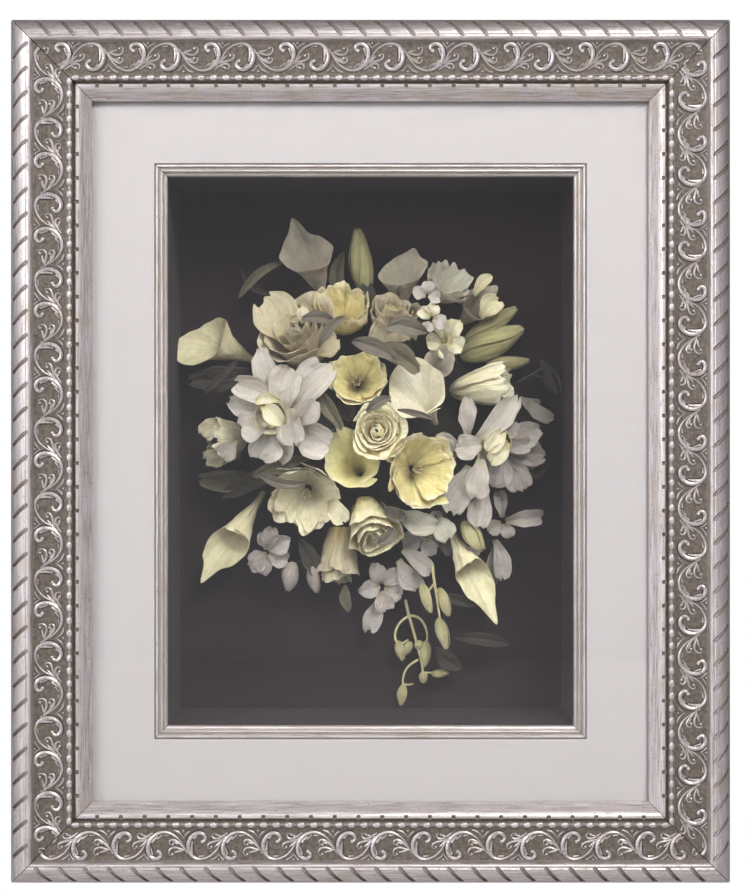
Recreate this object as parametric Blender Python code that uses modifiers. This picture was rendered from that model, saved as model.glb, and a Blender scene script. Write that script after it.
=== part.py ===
"""A preserved bridal bouquet in a deep glazed frame.

The frame is the 16 by 20 inch size: four mitred lengths of silver-leafed moulding, glass, a white
mat with a window of 307 by 409 mm, a small silver fillet round the window, a dark lined box behind it,
and the dried blooms glued on a dark foam mound. +Z is up, the glass looks along -Y, and the origin
is the centre of the back panel, the face that lies on the wall.
"""

import math

import bmesh
import bpy
from mathutils import Matrix, Vector
from mathutils.bvhtree import BVHTree

MM = 0.001
GAP = 0.3 * MM
MERGE = 0.01 * MM

# The frame, from the glass size that framers stock
FRAME_WIDTH = 508 * MM
FRAME_HEIGHT = 609.6 * MM
WINDOW_WIDTH = 307 * MM
WINDOW_HEIGHT = 409 * MM
FILLET_SIGHT = 8.6 * MM
RABBET_WIDTH = 406 * MM
RABBET_HEIGHT = 507.6 * MM

# Depths, each the distance in front of the wall
BACK_PANEL_FRONT = 6 * MM
BOARD_FRONT = 12 * MM
MOULDING_BACK = 102 * MM
MAT_BACK = 108.4 * MM
MAT_FRONT = 111.4 * MM
GLASS_BACK = 111.7 * MM
GLASS_FRONT = 113.7 * MM
FRAME_EDGE = 120 * MM

BOX_WALL = 12.7 * MM
LINER_WALL = 5 * MM

# The moulding's section: millimetres in from the outer edge, and forward of its back
MOULDING_SECTION = [
    (0, 0), (0, 17), (1.5, 21), (5, 25.5), (9, 28.5), (13, 30), (15.8, 29.6), (16.6, 28),
    (17.4, 25.5), (29, 24.6), (40.5, 23.8), (41.2, 26), (43, 27), (44.6, 26), (45.2, 21.5),
    (46, 21.5), (46.6, 23.5), (49.5, 23), (52, 20.5), (55, 16.5), (57, 14), (57, 12),
    (50.9, 12), (50.9, 0),
]

# The fillet's section: millimetres in from its hidden flange's edge, and forward of its back
FILLET_SECTION = [
    (0, 0), (0, 5.6), (4.6, 5.6), (4.6, 8), (6.2, 8.6), (7.4, 7), (8.4, 6.8), (9.6, 7.4),
    (11, 6), (12.6, 4.4), (12.6, 0),
]
FILLET_WIDTH = 12.6 * MM
FILLET_BACK = 102.5 * MM

# Where the photograph shows a bloom: the frame's middle and width there in pixels, and how far
# in front of the frame's outer edge the eye is
PHOTO_CENTRE = (370.5, 451.25)
METRES_PER_PIXEL = FRAME_WIDTH / 720
VIEW_DISTANCE = 1.25

# The two keyhole plates let into the back edges of the box sides
PLATE_WIDTH = 10 * MM
PLATE_HEIGHT = 45 * MM
PLATE_THICKNESS = 2 * MM
PLATE_Z = 190 * MM
POCKET_DEPTH = 8 * MM
POCKET_HEIGHT = 32 * MM
KEYHOLE_RADIUS = 4 * MM
KEYHOLE_SLOT = 4 * MM
KEYHOLE_RISE = 12 * MM

# The foam mound that the blooms are glued to
MOUND_CENTRE = (365, 425)
MOUND_RADII = (96 * MM, 24 * MM, 104 * MM)

# Thicknesses of the dried blooms, the length in millimetres past which a petal bends at one place
# more, and the stems: the main stem comes first, and each side stem is a little thinner
PETAL_THICKNESS = 1.3 * MM
LONG_PETAL = 37
CALLA_THICKNESS = 1.1 * MM
LEAF_THICKNESS = 1.0 * MM
STEM_RADIUS = 1.2 * MM
STEM_THINNING = 0.93

# How a bloom comes forward until it is clear of those behind it
SETTLE_STEP = 0.5 * MM
SETTLE_CLEARANCE = 0.6 * MM

# Colours: base colour, roughness and metallic value
FINISHES = {
    "silver_leaf": ((0.62, 0.60, 0.56), 0.35, 0.9),
    "glass": ((0.9, 0.95, 0.95), 0.05, 0.0),
    "white_mat": ((0.83, 0.81, 0.80), 0.9, 0.0),
    "dark_suede": ((0.055, 0.045, 0.055), 0.95, 0.0),
    "box_wood": ((0.16, 0.11, 0.08), 0.7, 0.0),
    "hardboard": ((0.33, 0.21, 0.12), 0.8, 0.0),
    "steel": ((0.55, 0.55, 0.56), 0.35, 1.0),
    "foam": ((0.05, 0.055, 0.04), 0.95, 0.0),
    "white_petal": ((0.80, 0.77, 0.70), 0.7, 0.0),
    "cream_petal": ((0.78, 0.72, 0.50), 0.7, 0.0),
    "yellow_petal": ((0.74, 0.63, 0.30), 0.7, 0.0),
    "green_bud": ((0.50, 0.48, 0.25), 0.7, 0.0),
    "dry_leaf": ((0.20, 0.19, 0.14), 0.8, 0.0),
}


def clear_scene():
    for obj in list(bpy.data.objects):
        bpy.data.objects.remove(obj)


def finish_of(name):
    """The material of one finish, made once."""
    material = bpy.data.materials.get(name)
    if material is None:
        colour, roughness, metallic = FINISHES[name]
        material = bpy.data.materials.new(name)
        material.use_nodes = True
        shader = material.node_tree.nodes["Principled BSDF"]
        shader.inputs["Base Color"].default_value = (*colour, 1)
        shader.inputs["Roughness"].default_value = roughness
        shader.inputs["Metallic"].default_value = metallic
    return material


def new_part(name, data, finish):
    obj = bpy.data.objects.new(name, data)
    bpy.data.collections["framed_bouquet"].objects.link(obj)
    data.materials.clear()
    data.materials.append(finish_of(finish))
    return obj


def part_from(bm, name, finish):
    mesh = bpy.data.meshes.new(name)
    bm.to_mesh(mesh)
    bm.free()
    return new_part(name, mesh, finish)


def block(name, finish, width, depth, height, x, front, z):
    """A board of this width, depth and height, its front face this far in front of the wall."""
    bm = bmesh.new()
    bmesh.ops.create_cube(bm, size=1)
    bmesh.ops.scale(bm, verts=bm.verts, vec=(width, depth, height))
    obj = part_from(bm, name, finish)
    obj.location = (x, depth / 2 - front, z)
    return obj


def evaluated_mesh(obj):
    """A new mesh of the object with its modifiers applied."""
    graph = bpy.context.evaluated_depsgraph_get()
    return bpy.data.meshes.new_from_object(obj.evaluated_get(graph))


def joined(pieces, operation="UNION", solver="EXACT"):
    """The first piece with the others joined to it, or cut from it, by Booleans. The others go."""
    first, *others = pieces
    for other in others:
        boolean = first.modifiers.new(other.name, "BOOLEAN")
        boolean.operation = operation
        boolean.solver = solver
        boolean.object = other
    mesh = evaluated_mesh(first)
    first.modifiers.clear()
    first.data = mesh
    for other in others:
        bpy.data.objects.remove(other)
    return first


# The moulding and the fillet: a section drawn at one mitre and extruded to the other


def mitred_length(name, section, length, finish, back):
    """A mitred length along X, its outer edge at z = 0 and its inner edge below."""
    bm = bmesh.new()
    half = length / 2
    near = [bm.verts.new((GAP - half + w * MM, -back - h * MM, -w * MM)) for w, h in section]
    bm.faces.new(near)
    grown = bmesh.ops.extrude_face_region(bm, geom=bm.faces[:])
    for vert in (v for v in grown["geom"] if isinstance(v, bmesh.types.BMVert)):
        vert.co.x = -vert.co.x
    bmesh.ops.recalc_face_normals(bm, faces=bm.faces)
    return part_from(bm, name, finish)


def mitred_frame(prefix, section, width, height, finish, back):
    """Four mitred lengths round a rectangle that is measured at their outer edges."""
    sides = {"top": (width, height, 0), "right": (height, width, 90),
             "bottom": (width, height, 180), "left": (height, width, -90)}
    for side, (length, across, turn) in sides.items():
        rail = mitred_length(f"{prefix}_{side}", section, length, finish, back)
        rotation = Matrix.Rotation(math.radians(turn), 4, "Y")
        rail.matrix_world = rotation @ Matrix.Translation((0, 0, across / 2))


# The flat goods: glass, mat, liner and boards


def rectangle_spline(curve, width, height):
    spline = curve.splines.new("POLY")
    spline.points.add(3)
    corners = [(-1, -1), (1, -1), (1, 1), (-1, 1)]
    for point, (x, y) in zip(spline.points, corners):
        point.co = (x * width / 2, y * height / 2, 0, 1)
    spline.use_cyclic_u = True


def flat_ring(name, finish, outer, inner, back, front):
    """A flat board with a rectangular window, between two distances in front of the wall."""
    curve = bpy.data.curves.new(name, "CURVE")
    curve.dimensions = "2D"
    curve.fill_mode = "BOTH"
    curve.extrude = (front - back) / 2
    rectangle_spline(curve, *outer)
    rectangle_spline(curve, *inner)
    obj = new_part(name, curve, finish)
    obj.rotation_euler.x = math.radians(90)
    obj.location.y = -(front + back) / 2
    return obj


def make_glazing_and_mat():
    width = RABBET_WIDTH - 2 * MM
    height = RABBET_HEIGHT - 2 * MM
    block("glass", "glass", width, GLASS_FRONT - GLASS_BACK, height, 0, GLASS_FRONT, 0)
    flat_ring("mat_board", "white_mat", (width, height), (WINDOW_WIDTH, WINDOW_HEIGHT),
              MAT_BACK, MAT_FRONT)
    fillet_outset = 2 * (FILLET_WIDTH - FILLET_SIGHT)
    mitred_frame("fillet", FILLET_SECTION, WINDOW_WIDTH + fillet_outset,
                 WINDOW_HEIGHT + fillet_outset, "silver_leaf", FILLET_BACK)


def make_liner():
    """Four lined boards behind the fillet, standing on the mount board."""
    inner_width = WINDOW_WIDTH - 2 * FILLET_SIGHT + 2 * MM
    inner_height = WINDOW_HEIGHT - 2 * FILLET_SIGHT + 2 * MM
    front = FILLET_BACK - GAP
    depth = front - BOARD_FRONT - GAP
    for side, sign in (("left", -1), ("right", 1)):
        x = sign * (inner_width + LINER_WALL) / 2
        block(f"liner_{side}", "dark_suede", LINER_WALL, depth, inner_height - 2 * GAP, x, front, 0)
    for side, sign in (("bottom", -1), ("top", 1)):
        z = sign * (inner_height + LINER_WALL) / 2
        block(f"liner_{side}", "dark_suede", inner_width + 2 * LINER_WALL, depth, LINER_WALL,
              0, front, z)


def make_box():
    """The wooden box that the moulding's rabbet fits over, its mount board and its back panel."""
    depth = MAT_BACK - GAP
    outer_width = RABBET_WIDTH - 2 * GAP
    outer_height = RABBET_HEIGHT - 2 * GAP
    side_height = outer_height - 2 * (BOX_WALL + GAP)
    for side, sign in (("left", -1), ("right", 1)):
        x = sign * (outer_width - BOX_WALL) / 2
        board = block(f"box_side_{side}", "box_wood", BOX_WALL, depth, side_height, x, depth, 0)
        cut_plate_pocket(board, side, x)
    for side, sign in (("bottom", -1), ("top", 1)):
        z = sign * (outer_height - BOX_WALL) / 2
        block(f"box_side_{side}", "box_wood", outer_width, depth, BOX_WALL, 0, depth, z)
    width = outer_width - 2 * (BOX_WALL + GAP)
    block("mount_board", "dark_suede", width, BOARD_FRONT - BACK_PANEL_FRONT - GAP, side_height,
          0, BOARD_FRONT, 0)
    block("back_panel", "hardboard", width, BACK_PANEL_FRONT, side_height, 0, BACK_PANEL_FRONT, 0)


def cut_plate_pocket(board, side, x):
    """The plate's seat in the board's back edge, and the deeper room for a screw head."""
    seat = block("seat_cutter", "steel", PLATE_WIDTH + 2 * GAP, 2 * PLATE_THICKNESS + 2 * GAP,
                 PLATE_HEIGHT + 2 * GAP, x, PLATE_THICKNESS + GAP, PLATE_Z)
    room = block("room_cutter", "steel", 2 * KEYHOLE_RADIUS, 2 * POCKET_DEPTH,
                 POCKET_HEIGHT, x, POCKET_DEPTH, PLATE_Z)
    joined([board, seat, room], "DIFFERENCE")
    plate = block(f"keyhole_plate_{side}", "steel", PLATE_WIDTH, PLATE_THICKNESS, PLATE_HEIGHT,
                  x, PLATE_THICKNESS, PLATE_Z)
    slot = block("slot_cutter", "steel", KEYHOLE_SLOT, 4 * PLATE_THICKNESS, KEYHOLE_RISE,
                 x, 2 * PLATE_THICKNESS, PLATE_Z + KEYHOLE_RISE / 2)
    bm = bmesh.new()
    bmesh.ops.create_cone(bm, cap_ends=True, segments=16, radius1=KEYHOLE_RADIUS,
                          radius2=KEYHOLE_RADIUS, depth=4 * PLATE_THICKNESS)
    hole = part_from(bm, "hole_cutter", "steel")
    hole.matrix_world = (Matrix.Translation((x, 0, PLATE_Z))
                         @ Matrix.Rotation(math.radians(90), 4, "X"))
    joined([plate, slot, hole], "DIFFERENCE")


def make_mound():
    """Half of a flattened ball, its flat back on the mount board."""
    bm = bmesh.new()
    bmesh.ops.create_uvsphere(bm, u_segments=14, v_segments=8, radius=1)
    bmesh.ops.scale(bm, verts=bm.verts, vec=MOUND_RADII)
    cut = bmesh.ops.bisect_plane(bm, geom=bm.verts[:] + bm.edges[:] + bm.faces[:],
                                 plane_co=(0, 0, 0), plane_no=(0, 1, 0), clear_outer=True)
    rim = [e for e in cut["geom_cut"] if isinstance(e, bmesh.types.BMEdge)]
    bmesh.ops.contextual_create(bm, geom=rim)
    bmesh.ops.recalc_face_normals(bm, faces=bm.faces)
    mound = part_from(bm, "foam_mound", "foam")
    mound.location = seen_at(*MOUND_CENTRE, BOARD_FRONT + GAP)
    return mound


# Placing a bloom from the photograph


def seen_at(u, v, forward):
    """The point this far in front of the wall that the photograph shows at pixel (u, v)."""
    spread = METRES_PER_PIXEL * (VIEW_DISTANCE + FRAME_EDGE - forward) / VIEW_DISTANCE
    return Vector(((u - PHOTO_CENTRE[0]) * spread, -forward, (PHOTO_CENTRE[1] - v) * spread))


def turned(heading, lift, roll):
    """The turn of a bloom whose own +Z is its axis and +X its front.

    heading is where the axis points in the photograph, anticlockwise from right, lift is how far
    it rises out of the photograph towards the eye, and roll turns the bloom about its axis.
    """
    heading, lift = math.radians(heading), math.radians(lift)
    in_picture = Vector((math.cos(heading), 0, math.sin(heading)))
    to_eye = Vector((0, -1, 0))
    axis = in_picture * math.cos(lift) + to_eye * math.sin(lift)
    front = to_eye * math.cos(lift) - in_picture * math.sin(lift)
    side = axis.cross(front)
    matrix = Matrix((front, side, axis)).transposed().to_4x4()
    return matrix @ Matrix.Rotation(math.radians(roll), 4, "Z")


def world_triangles(obj):
    mesh = evaluated_mesh(obj)
    mesh.calc_loop_triangles()
    points = [obj.matrix_world @ v.co for v in mesh.vertices]
    faces = [tuple(t.vertices) for t in mesh.loop_triangles]
    bpy.data.meshes.remove(mesh)
    return points, faces


def clear_at(obj, placed, spot, turn, forward):
    """Puts a bloom at this depth, and tells whether it lies clear of those placed before it."""
    obj.matrix_world = Matrix.Translation(seen_at(*spot, forward)) @ turn
    bpy.context.view_layer.update()
    tree = BVHTree.FromPolygons(*world_triangles(obj))
    return not any(tree.overlap(other) for other in placed)


def settle(obj, placed, spot, turn, forward):
    """Brings a bloom forward from its first depth until it lies clear on those behind it."""
    while not (clear_at(obj, placed, spot, turn, forward)
               and clear_at(obj, placed, spot, turn, forward + SETTLE_CLEARANCE)):
        forward += SETTLE_STEP
    placed.append(BVHTree.FromPolygons(*world_triangles(obj)))


# Sheets: a grid that a formula bends, thickened to a closed shell


def bent_sheet(name, finish, across, along, shape, closed=False, thickness=PETAL_THICKNESS):
    """shape(u, v) gives the point of the sheet at u across and v along, both from 0 to 1."""
    bm = bmesh.new()
    bmesh.ops.create_grid(bm, x_segments=across, y_segments=along, size=0.5)
    for vert in bm.verts:
        vert.co = shape(vert.co.x + 0.5, vert.co.y + 0.5)
    if closed:
        bmesh.ops.remove_doubles(bm, verts=bm.verts, dist=MERGE)
    obj = part_from(bm, name, finish)
    shell = obj.modifiers.new("thickness", "SOLIDIFY")
    shell.thickness = thickness
    shell.offset = 0
    return obj


def smooth(t):
    t = min(max(t, 0), 1)
    return t * t * (3 - 2 * t)


def calla(name, finish, length, mouth, tip, flare=0.5):
    """A calla's spathe: one leaf rolled to a funnel until its edges nearly meet, and drawn out to a tip."""
    throat = 4
    throat_wrap = 1.90 * math.pi
    mouth_wrap = 1.97 * math.pi

    def shape(u, v):
        angle = (u - 0.5) * (throat_wrap + (mouth_wrap - throat_wrap) * v)
        toward_tip = 0.5 + 0.5 * math.cos(angle)
        reach = length * (0.66 + 0.34 * toward_tip) + tip * math.exp(-(angle / 0.33) ** 2) * v
        opening = smooth(v) ** 1.3
        radius = throat * (0.45 + 0.55 * v) + (mouth - throat) * opening
        roll_back = max(v - 0.65, 0) / 0.35
        radius += mouth * flare * roll_back**2 * (0.35 + 0.65 * toward_tip)
        radius *= 1 + 0.12 * (u - 0.5)
        height = reach * v - mouth * flare * 0.5 * roll_back**2 * (1 - toward_tip)
        return Vector((radius * math.cos(angle), radius * math.sin(angle),
                       height - length / 2)) * MM

    return bent_sheet(name, finish, 8, 3, shape, thickness=CALLA_THICKNESS)


def bud(name, finish, length, radius):
    """A closed bud: a spindle, fuller below its middle."""
    bm = bmesh.new()
    bmesh.ops.create_uvsphere(bm, u_segments=7, v_segments=5, radius=1)
    for vert in bm.verts:
        t = (vert.co.z + 1) / 2
        around = Vector((vert.co.x, vert.co.y))
        if around.length > 1e-6:
            around.normalize()
            around *= radius * math.sin(math.pi * t**0.8) ** 0.7
        vert.co = Vector((around.x, around.y, length * (t - 0.5))) * MM
    return part_from(bm, name, finish)


def hip(name, finish, radius, height, z):
    """The round seat under a bloom."""
    bm = bmesh.new()
    bmesh.ops.create_uvsphere(bm, u_segments=6, v_segments=4, radius=1)
    bmesh.ops.scale(bm, verts=bm.verts, vec=(radius * MM, radius * MM, height * MM))
    bmesh.ops.translate(bm, verts=bm.verts, vec=(0, 0, z * MM))
    return part_from(bm, name, finish)


def rose(name, finish, radius, height, turns=2.2, flare=0.25):
    """A rose: its petals are one sheet wound outwards from the heart, on a round hip."""
    heart = 3.2

    def shape(u, v):
        angle = 2 * math.pi * turns * u
        ring = heart + (radius - heart) * u
        foot = 0.42 * ring
        spread = ring * (1 + flare * u * u * v**3)
        r = foot + (spread - foot) * math.sin(v * math.pi / 2)
        top = height * (1 - 0.22 * u)
        return Vector((r * math.cos(angle), r * math.sin(angle), top * v - height / 2)) * MM

    petals = bent_sheet(name, finish, int(turns * 8), 2, shape)
    return joined([petals, hip(name + "_hip", finish, 0.5 * radius, 0.2 * height, -0.5 * height)])


def ruffled_cup(name, finish, radius, height, lobes=5, ruffle=0.14):
    """A lisianthus: a cup of broad petals with a waved rim, round a small crown."""

    def shape(u, v):
        angle = 2 * math.pi * u
        lobe = math.cos(lobes * angle)
        r = radius * (0.10 + 0.90 * math.sin(v * math.pi / 2)) * (1 + ruffle * lobe * v)
        wave = ruffle * radius * lobe * v * v
        return Vector((r * math.cos(angle), r * math.sin(angle),
                       height * v**1.5 + wave - height / 2)) * MM

    cup = bent_sheet(name, finish, 2 * lobes, 2, shape, closed=True)
    return joined([cup, hip(name + "_crown", finish, 0.22 * radius, 0.3 * height, -0.4 * height)])


def petal_width(v):
    """A petal's share of its full width, from its claw to its rounded tip."""
    return 0.16 + 0.84 * math.sin(math.pi * (0.02 + 0.80 * v)) ** 1.1


def flat_petal(name, finish, azimuth, length, width, tilt, start, cup=0.10, curl=-0.1):
    """One petal that grows outwards at this azimuth, tilted up from the bloom's face."""
    tilt, azimuth = math.radians(tilt), math.radians(azimuth)

    def shape(u, v):
        side = (2 * u - 1) * width / 2 * petal_width(v)
        out = start + length * v
        rise = cup * width * (2 * u - 1) ** 2 + curl * length * v * v
        x = out * math.cos(tilt) - rise * math.sin(tilt)
        z = out * math.sin(tilt) + rise * math.cos(tilt)
        return Vector((x * math.cos(azimuth) - side * math.sin(azimuth),
                       x * math.sin(azimuth) + side * math.cos(azimuth), z)) * MM

    return bent_sheet(name, finish, 2, 3 if length > LONG_PETAL else 2, shape)


def star(name, finish, petals, heart=4.5, heart_height=4.0):
    """An open bloom: petals, each (azimuth, length, width, tilt), round a small heart."""
    pieces = [hip(name, finish, heart, heart_height, 0)]
    for number, (azimuth, length, width, tilt) in enumerate(petals):
        petal = flat_petal(f"{name}_petal_{number}", finish, azimuth, length, width,
                           tilt + number % 3, heart / 2)
        pieces.append(petal)
    return joined(pieces, solver="MANIFOLD")


def leaf(name, finish, length, width, bend=0.25, fold=0.25):
    """A dried leaf, folded along its midrib and bent along its length."""

    def shape(u, v):
        side = 2 * u - 1
        half = width / 2 * math.sin(math.pi * (0.06 + 0.90 * v)) ** 0.8
        along = length * (v - 0.5)
        rise = fold * half * abs(side) + bend * length * (0.25 - (v - 0.5) ** 2)
        return Vector((rise, side * half, along)) * MM

    return bent_sheet(name, finish, 2, 4, shape, thickness=LEAF_THICKNESS)


def tube(name, finish, points, radius):
    """A stem through these points, as a mesh with its caps welded."""
    curve = bpy.data.curves.new(name, "CURVE")
    curve.dimensions = "3D"
    curve.bevel_depth = radius
    curve.bevel_resolution = 0
    curve.use_fill_caps = True
    spline = curve.splines.new("POLY")
    spline.points.add(len(points) - 1)
    for knot, point in zip(spline.points, points):
        knot.co = (*point, 1)
    guide = new_part(name + "_route", curve, finish)
    bm = bmesh.new()
    mesh = evaluated_mesh(guide)
    bm.from_mesh(mesh)
    bpy.data.meshes.remove(mesh)
    bmesh.ops.remove_doubles(bm, verts=bm.verts, dist=MERGE)
    bmesh.ops.recalc_face_normals(bm, faces=bm.faces)
    bpy.data.objects.remove(guide)
    return part_from(bm, name, finish)


def spray(name, finish, origin, forward, stems, buds):
    """Hanging stems with their buds, drawn in the photograph's pixels about an origin.

    Each bud is the pixel where it hangs from, the pixel of its tip, and its radius in millimetres.
    """
    base = seen_at(*origin, forward * MM)

    def local(pixel):
        return seen_at(*pixel, forward * MM) - base

    pieces = [tube(f"{name}_stem_{number}", finish, [local(p) for p in stem],
                   STEM_RADIUS * STEM_THINNING**number) for number, stem in enumerate(stems)]
    for number, (hang, tip, radius) in enumerate(buds):
        start = local(hang)
        along = local(tip) - start
        piece = bud(f"{name}_bud_{number}", finish, along.length / MM, radius)
        turn = along.to_track_quat("Z", "X").to_matrix().to_4x4()
        placed = Matrix.Translation(start + along / 2) @ turn
        piece.data.transform(placed)
        pieces.append(piece)
    whole = joined(pieces, solver="MANIFOLD")
    whole.name = name
    return whole


def make_callas():
    calla("calla_top_left", "white_petal", length=54, mouth=15, tip=9)
    calla("calla_top_right", "white_petal", length=48, mouth=12, tip=4)
    calla("calla_left", "white_petal", length=58, mouth=14, tip=8)
    calla("calla_right", "white_petal", length=48, mouth=17, tip=8)
    calla("calla_centre", "yellow_petal", length=36, mouth=14, tip=6)
    calla("calla_low_left", "white_petal", length=60, mouth=15, tip=10)
    calla("calla_low_right", "white_petal", length=66, mouth=12, tip=10)
    calla("calla_small", "cream_petal", length=32, mouth=9, tip=4)
    calla("calla_side", "cream_petal", length=38, mouth=9, tip=5)


def make_buds():
    bud("bud_top", "green_bud", length=50, radius=9.5)
    bud("bud_low", "yellow_petal", length=28, radius=9)


def make_roses():
    rose("rose_upper_left", "cream_petal", radius=27, height=36)
    rose("rose_upper_right", "cream_petal", radius=16, height=44)
    rose("rose_centre", "white_petal", radius=19, height=18, flare=0.1)
    rose("rose_low", "cream_petal", radius=18, height=38, flare=0.1)
    rose("rose_bud_low", "white_petal", radius=15, height=46, turns=1.6, flare=0.02)


def make_cups():
    ruffled_cup("lisianthus_top", "yellow_petal", radius=21, height=26)
    ruffled_cup("lisianthus_faded", "white_petal", radius=17, height=20)
    ruffled_cup("lisianthus_centre", "yellow_petal", radius=19, height=14)
    ruffled_cup("lisianthus_left", "cream_petal", radius=18, height=26)
    ruffled_cup("lisianthus_low_left", "cream_petal", radius=25, height=18)
    ruffled_cup("lisianthus_low_right", "yellow_petal", radius=24, height=18)
    ruffled_cup("lisianthus_right", "cream_petal", radius=16, height=46)


def make_stars():
    """Each petal is its azimuth, its length, its width and its tilt."""
    star("gardenia", "white_petal", [
        (98, 50, 18, 6), (70, 40, 24, 12), (41, 58, 26, 4), (8, 36, 20, 12), (338, 49, 27, 4),
        (285, 35, 18, 8), (257, 34, 24, 14), (200, 30, 24, 8), (144, 42, 27, 6),
    ], heart=13, heart_height=9)
    star("orchid_small", "white_petal", [
        (90, 16, 11, 12), (20, 15, 13, 10), (160, 15, 13, 10), (230, 14, 10, 8), (310, 14, 10, 8),
    ])
    star("orchid_right", "white_petal", [
        (110, 30, 14, 10), (53, 38, 19, 8), (168, 32, 18, 6), (271, 38, 17, 10), (242, 52, 20, 2),
        (286, 58, 18, 2),
    ], heart=7)
    star("double_right", "yellow_petal", [
        (95, 22, 14, 16), (45, 42, 14, 4), (20, 26, 18, 8), (345, 27, 18, 6), (310, 26, 18, 8),
        (270, 30, 14, 4), (225, 22, 14, 10), (165, 18, 14, 16),
    ], heart=10, heart_height=8)
    star("orchid_low", "white_petal", [
        (62, 19, 16, 12), (133, 18, 15, 8), (203, 18, 15, 8), (274, 17, 14, 6), (342, 19, 15, 10),
    ])
    star("floret_bottom", "cream_petal", [
        (70, 15, 12, 14), (150, 16, 11, 10), (215, 15, 11, 8), (268, 34, 14, 4), (350, 16, 12, 8),
    ])
    star("floret_low_left", "cream_petal", [
        (100, 18, 12, 10), (165, 22, 13, 6), (240, 18, 12, 4), (300, 17, 12, 4), (20, 18, 12, 10),
    ])
    star("floret_right", "cream_petal", [
        (8, 32, 12, 6), (100, 19, 11, 10), (215, 15, 10, 8), (252, 38, 14, 4), (272, 48, 13, 8),
    ])


def make_leaves():
    leaf("leaf_top_left", "dry_leaf", length=62, width=7, bend=0.35)
    leaf("leaf_left", "dry_leaf", length=34, width=15)
    leaf("leaf_low_right", "dry_leaf", length=46, width=13)


def make_sprays():
    spray("buds_right", "yellow_petal", (490, 345), 24, stems=[
        [(448, 352), (462, 353), (476, 350)],
        [(455, 355), (463, 346), (478, 333)],
        [(457, 350), (470, 361), (500, 364)],
    ], buds=[
        ((464, 343), (515, 308), 5.5), ((461, 358), (525, 331), 9), ((488, 363), (530, 362), 4),
    ])
    spray("spray_left", "cream_petal", (413, 640), 34, stems=[
        [(405, 600), (410, 618), (416, 640), (423, 674)],
        [(409, 612), (402, 622), (395, 634), (399, 645)],
        [(410, 616), (419, 620), (426, 630), (428, 646)],
        [(418, 655), (408, 665), (403, 676), (403, 688)],
        [(420, 668), (428, 669), (436, 672)],
    ], buds=[
        ((398, 634), (403, 660), 5.5), ((427, 638), (422, 669), 6.5), ((403, 680), (404, 705), 6),
        ((430, 671), (450, 676), 4), ((422, 668), (425, 684), 3.5),
    ])
    spray("spray_right", "cream_petal", (440, 605), 46, stems=[
        [(432, 572), (435, 590), (438, 606), (441, 624)],
        [(435, 588), (430, 592), (428, 600)],
        [(437, 594), (441, 597), (443, 604)],
    ], buds=[
        ((427, 583), (425, 614), 6), ((441, 590), (443, 618), 6), ((442, 619), (444, 650), 6),
    ])


# Where each bloom lies, from the rearmost to the foremost: the photograph's pixel at its middle,
# the heading of its axis, its lift, its roll, and the depth in millimetres from which it comes
# forward until it is clear of what lies behind it

PLACES = {
    "leaf_top_left": ((268, 277), 42, 0, 0, 34),
    "calla_top_left": ((317, 271), 122, 25, 180, 36),
    "bud_top": ((361, 261), 95, 10, 0, 34),
    "calla_top_right": ((402, 290), 92, 20, 180, 36),
    "lisianthus_faded": ((446, 287), 60, 45, 0, 36),
    "calla_side": ((470, 312), 42, 30, 180, 34),
    "buds_right": ((490, 345), 0, 0, 0, 24),
    "calla_left": ((230, 349), 175, 12, 150, 36),
    "leaf_left": ((220, 476), 170, 10, 0, 32),
    "calla_low_left": ((240, 526), 239, 12, 150, 36),
    "calla_low_right": ((467, 559), 295, 10, 150, 34),
    "leaf_low_right": ((482, 641), 175, 5, 0, 30),
    "spray_left": ((413, 640), 0, 0, 0, 26),
    "spray_right": ((440, 605), 0, 0, 0, 46),
    "rose_bud_low": ((339, 560), 266, 5, 0, 30),
    "floret_bottom": ((379, 590), 0, 0, 0, 32),
    "floret_low_left": ((266, 555), 0, 0, 0, 30),
    "floret_right": ((503, 525), 0, 0, 0, 30),
    "bud_low": ((473, 537), 290, 10, 0, 44),
    "lisianthus_left": ((226, 440), 182, 20, 0, 40),
    "lisianthus_right": ((482, 387), 8, 15, 0, 40),
    "double_right": ((509, 452), 0, 0, 0, 46),
    "orchid_low": ((425, 534), 0, 0, 0, 34),
    "rose_upper_right": ((392, 322), 75, 40, 0, 44),
    "orchid_small": ((444, 340), 0, 0, 0, 50),
    "calla_small": ((434, 368), 60, 50, 180, 46),
    "lisianthus_top": ((342, 316), 92, 52, 0, 42),
    "rose_upper_left": ((295, 336), 109, 50, 0, 42),
    "calla_right": ((422, 402), 120, 40, 180, 50),
    "orchid_right": ((474, 450), 0, 0, 0, 54),
    "rose_low": ((372, 528), 288, 45, 0, 44),
    "lisianthus_low_left": ((305, 495), 250, 65, 0, 50),
    "lisianthus_low_right": ((418, 470), 350, 65, 0, 52),
    "gardenia": ((272, 418), 0, 0, 0, 60),
    "lisianthus_centre": ((358, 381), 95, 70, 0, 58),
    "calla_centre": ((357, 468), 110, 60, 180, 56),
    "rose_centre": ((377, 431), 90, 78, 0, 62),
}
FLAT_BLOOMS = ("orchid_small", "orchid_right", "double_right", "orchid_low", "gardenia",
               "floret_bottom", "floret_low_left", "floret_right")
SPRAYS = ("buds_right", "spray_left", "spray_right")


def facing_eye():
    """The turn of a flat bloom: its face to the eye, its azimuths as the photograph shows them."""
    return Matrix(((1, 0, 0), (0, 0, -1), (0, 1, 0))).to_4x4()


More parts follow.
